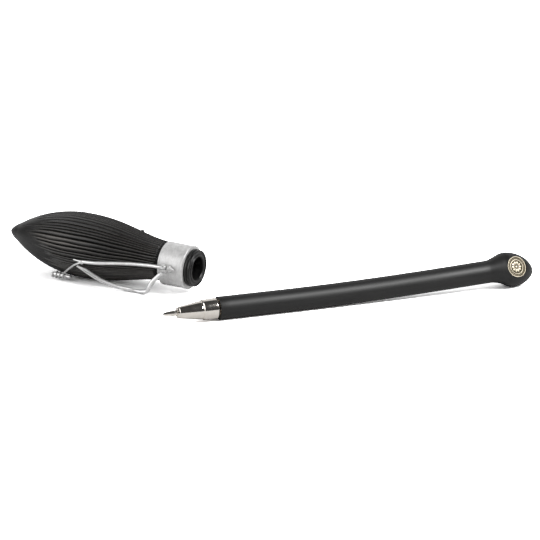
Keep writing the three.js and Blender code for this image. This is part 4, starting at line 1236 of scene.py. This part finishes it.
def bracket_outline():
    """The boss seen from outside: square at the pin, drawn out to a point towards the mouth."""
    half = BRACKET_WIDTH / 2
    square_end = Vector((BRACKET_LENGTH * 0.3, -half))
    bend = Vector((BRACKET_LENGTH * 0.52, -half * 0.35))
    point = Vector((BRACKET_LENGTH, 0))
    outline = [(0.0, -half + 0.35), (0.12, -half + 0.1), (0.4, -half), tuple(square_end)]
    for k in range(1, 13):
        u = k / 13
        outline.append(tuple(square_end * (1 - u) ** 2 + bend * 2 * u * (1 - u) + point * u * u))
    outline.append((BRACKET_LENGTH, -0.06))
    return outline + [(x, -z) for x, z in reversed(outline)]


def bracket_plate():
    """The boss from its bed on the collar to its top, by rings of (inset, height over the edge of the top)."""
    bed = COLLAR_FRONT_RADIUS + FACE_GAP
    hub = BRACKET_LENGTH * 0.36
    rings = []
    for inset, lift in ((0.0, None), (0.0, -0.42), (0.03, -0.26), (0.1, -0.12), (0.2, -0.03), (0.34, 0.02),
                        (0.6, BRACKET_CROWN)):
        ring = []
        for x, z in bracket_outline():
            px = lerp(x, hub, inset)
            up = BRACKET_UP + z * (1 - inset)
            slope = BRACKET_TIP_DROP * smoothstep((px - BRACKET_LENGTH / 2) / BRACKET_LENGTH * 2)
            out = sqrt(bed ** 2 - up ** 2) if lift is None else bracket_top + lift - slope
            ring.append((bracket_back + px, -out, up))
        rings.append(ring)
    return rings_shell(rings)


def make_bracket():
    lug_height = UPPER_EYE - LOWER_EYE - EYE_HEIGHT - FACE_GAP * 2
    lug = on_pin(rounded(eye_outline(lug_height), 0.15, 4), PIN_UP)
    wide = EYE_RADIUS - 0.12
    tall = lug_height / 2 - 0.02
    corners = ((-1, -1), (1, -1), (1, 1), (-1, 1))
    root = [[(pin_at + x, -PIN_OUT + wide * out, PIN_UP + tall * up) for out, up in corners]
            for x in (0.75, 1.0, 1.4, EYE_RADIUS + CLIP_GAP + 0.5)]
    # Its silver is a darker copy of the collar's, as painted shade.
    dressed("bracket_casting", joined([bracket_plate(), lug, rings_shell(root)]), CAP, 38,
            cast_silver(0.8, "shaded_cast_silver"), "cap", "silver_cast", "clip_bracket")


def make_pin():
    reach = EYE_HEIGHT / 2 + FACE_GAP
    low = LOWER_EYE - reach - PIN_UP
    high = UPPER_EYE + reach - PIN_UP
    bottom = low - PIN_HEAD_HEIGHT
    top = high + PIN_HEAD_HEIGHT
    profile = rounded([(bottom, 0), (bottom, PIN_HEAD_RADIUS), (low, PIN_HEAD_RADIUS), (low, PIN_RADIUS),
                       (high, PIN_RADIUS), (high, PIN_HEAD_RADIUS), (top, PIN_HEAD_RADIUS), (top, 0)], 0.1, 4)
    dressed("hinge_pin", on_pin(profile, PIN_UP, 48), CAP, 45,
            bright_wire(CAP, "bright_pin"), "cap", "bright_wire", "clip_pin")


def make_rivet():
    """Only its domed head shows, and only that is made."""
    rivet_at = bracket_back + RIVET_HEAD_RADIUS - FACE_GAP / 2
    seat = bracket_top + BRACKET_CROWN + 0.02
    profile = [(0, 0), (0, RIVET_HEAD_RADIUS)]
    for k in range(1, 9):
        angle = k / 9 * pi / 2
        profile.append((RIVET_HEAD_HEIGHT * sin(angle), RIVET_HEAD_RADIUS * cos(angle)))
    profile.append((RIVET_HEAD_HEIGHT, 0))
    shell = mapped(turned_shell(profile, 40), lambda x, y, z: (rivet_at + z, -seat - x, BRACKET_UP + y))
    # Its silver is a darker copy of the collar's, as painted shade.
    dressed("rivet_head", shell, CAP, 50,
            cast_silver(0.78, "shaded_rivet_silver"), "cap", "bright_wire", "clip_rivet")


# Stage, lights and camera

def view_axes(azimuth, elevation):
    """The ways right, up and towards the viewer of a view from there."""
    a, e = radians(azimuth), radians(elevation)
    toward = Vector((sin(a) * cos(e), -cos(a) * cos(e), sin(e)))
    right = Vector((cos(a), sin(a), 0))
    return right, toward.cross(right), toward


def stand(name, data, axes, place):
    """Puts a camera or a lamp in the scene, looking against the last of the three axes."""
    made = bpy.data.objects.new(name, data)
    made.matrix_world = placed(axes, place)
    bpy.context.scene.collection.objects.link(made)
    return made


def make_camera():
    mouth = CAP @ Vector((cap_mouth * MM, 0, 0))
    axes = view_axes(VIEW_AZIMUTH, VIEW_ELEVATION)
    right, up, toward = axes
    data = bpy.data.cameras.new("photo_view")
    data.sensor_fit = "HORIZONTAL"
    data.sensor_width = 36
    data.lens = data.sensor_width * PIXELS_PER_MM * VIEW_DISTANCE / PHOTO_SIZE
    data.clip_start = 0.05
    data.clip_end = 20
    away = (right * AIM_RIGHT + up * AIM_UP + toward * VIEW_DISTANCE) * MM
    bpy.context.scene.camera = stand("photo_view", data, axes, Vector((mouth.x, mouth.y, 0)) + away)


def softbox(name, azimuth, elevation, width, height, watts):
    """A lamp one metre away that shines on the middle of the scene."""
    data = bpy.data.lights.new(name, "AREA")
    data.shape = "RECTANGLE"
    data.size = width
    data.size_y = height
    data.energy = watts
    axes = view_axes(azimuth, elevation)
    stand(name, data, axes, axes[2])


def make_world():
    """A white room, plain to the camera, that bright metal mirrors as one pale wall and a screen."""
    world = bpy.data.worlds.new("studio")
    bpy.context.scene.world = world
    graph = Graph(world)
    where = graph.node("TexCoord").outputs["Generated"]

    def toward(way):
        return graph.node("VectorMath", {0: where, 1: way}, operation="DOT_PRODUCT").outputs["Value"]

    def soft_edged(way, low, high, from_low, from_high):
        return graph.spread(toward(way), low, high, from_low, from_high, interpolation_type="SMOOTHSTEP")

    behind = -view_axes(VIEW_AZIMUTH, 0)[2]
    above_behind = (behind + Vector((0, 0, 0.4))).normalized()
    even = graph.nodes["Background"]
    strength = graph.spread(toward(above_behind), WORLD_FRONT, WORLD_BACK, 0.1)
    graph.feed(even, {"Color": WHITE, "Strength": strength})
    wall = soft_edged(behind, 0.06, 0.95, 0.45, 0.75)
    screen = soft_edged(view_axes(SCREEN_AZIMUTH, SCREEN_ELEVATION)[2], 0, SCREEN_WHITE, 0.74, 0.92)
    mirrored = graph.node("Background", {"Strength": graph.maths("ADD", wall, screen)})
    seen = graph.node("Background", {"Color": WHITE, "Strength": 1.0})
    path = graph.node("LightPath").outputs
    glossy = graph.node("MixShader", {
        0: path["Is Glossy Ray"], 1: even.outputs[0], 2: mirrored.outputs[0]})
    camera = graph.node("MixShader", {
        0: path["Is Camera Ray"], 1: glossy.outputs[0], 2: seen.outputs[0]})
    graph.feed(graph.nodes["World Output"], {"Surface": camera.outputs[0]})


def make_floor():
    """A white table. Seen directly it is whiter than in the light it throws back, and keeps its shadows."""
    size = 3.0
    mesh = bpy.data.meshes.new("table")
    corners = [(-size, -size, 0), (size, -size, 0), (size, size, 0), (-size, size, 0)]
    mesh.from_pydata(corners, [], [(0, 1, 2, 3)])
    table = bpy.data.objects.new("table", mesh)
    table.location.z = -0.00002
    bpy.context.scene.collection.objects.link(table)
    material = bpy.data.materials.new("white_table")
    graph = Graph(material)
    graph.nodes.remove(graph.nodes["Principled BSDF"])
    path = graph.node("LightPath").outputs
    seen = graph.spread(path["Is Camera Ray"], TABLE_WHITE, TABLE_SEEN)
    colour = graph.node("Mix", {0: path["Is Glossy Ray"], 2: seen, 3: TABLE_MIRRORED}).outputs[0]
    diffuse = graph.node("BsdfDiffuse", {"Color": colour})
    graph.feed(graph.nodes["Material Output"], {"Surface": diffuse.outputs[0]})
    mesh.materials.append(material)


make_handle()
make_medallion()
make_nose()
make_point()
make_ball()
make_refill()
make_bush()
make_spring()
dress_carried()
make_head()
make_collar()
make_socket()
make_grip_ring()
make_frame()
make_foot()
make_bracket()
make_pin()
make_rivet()

make_floor()
make_world()
softbox("right_softbox", 90, 43, 0.3, 0.34, 10.0)
softbox("left_softbox", -42, 26, 0.8, 0.64, 2.8)
make_camera()
bpy.context.scene.view_settings.view_transform = "Standard"
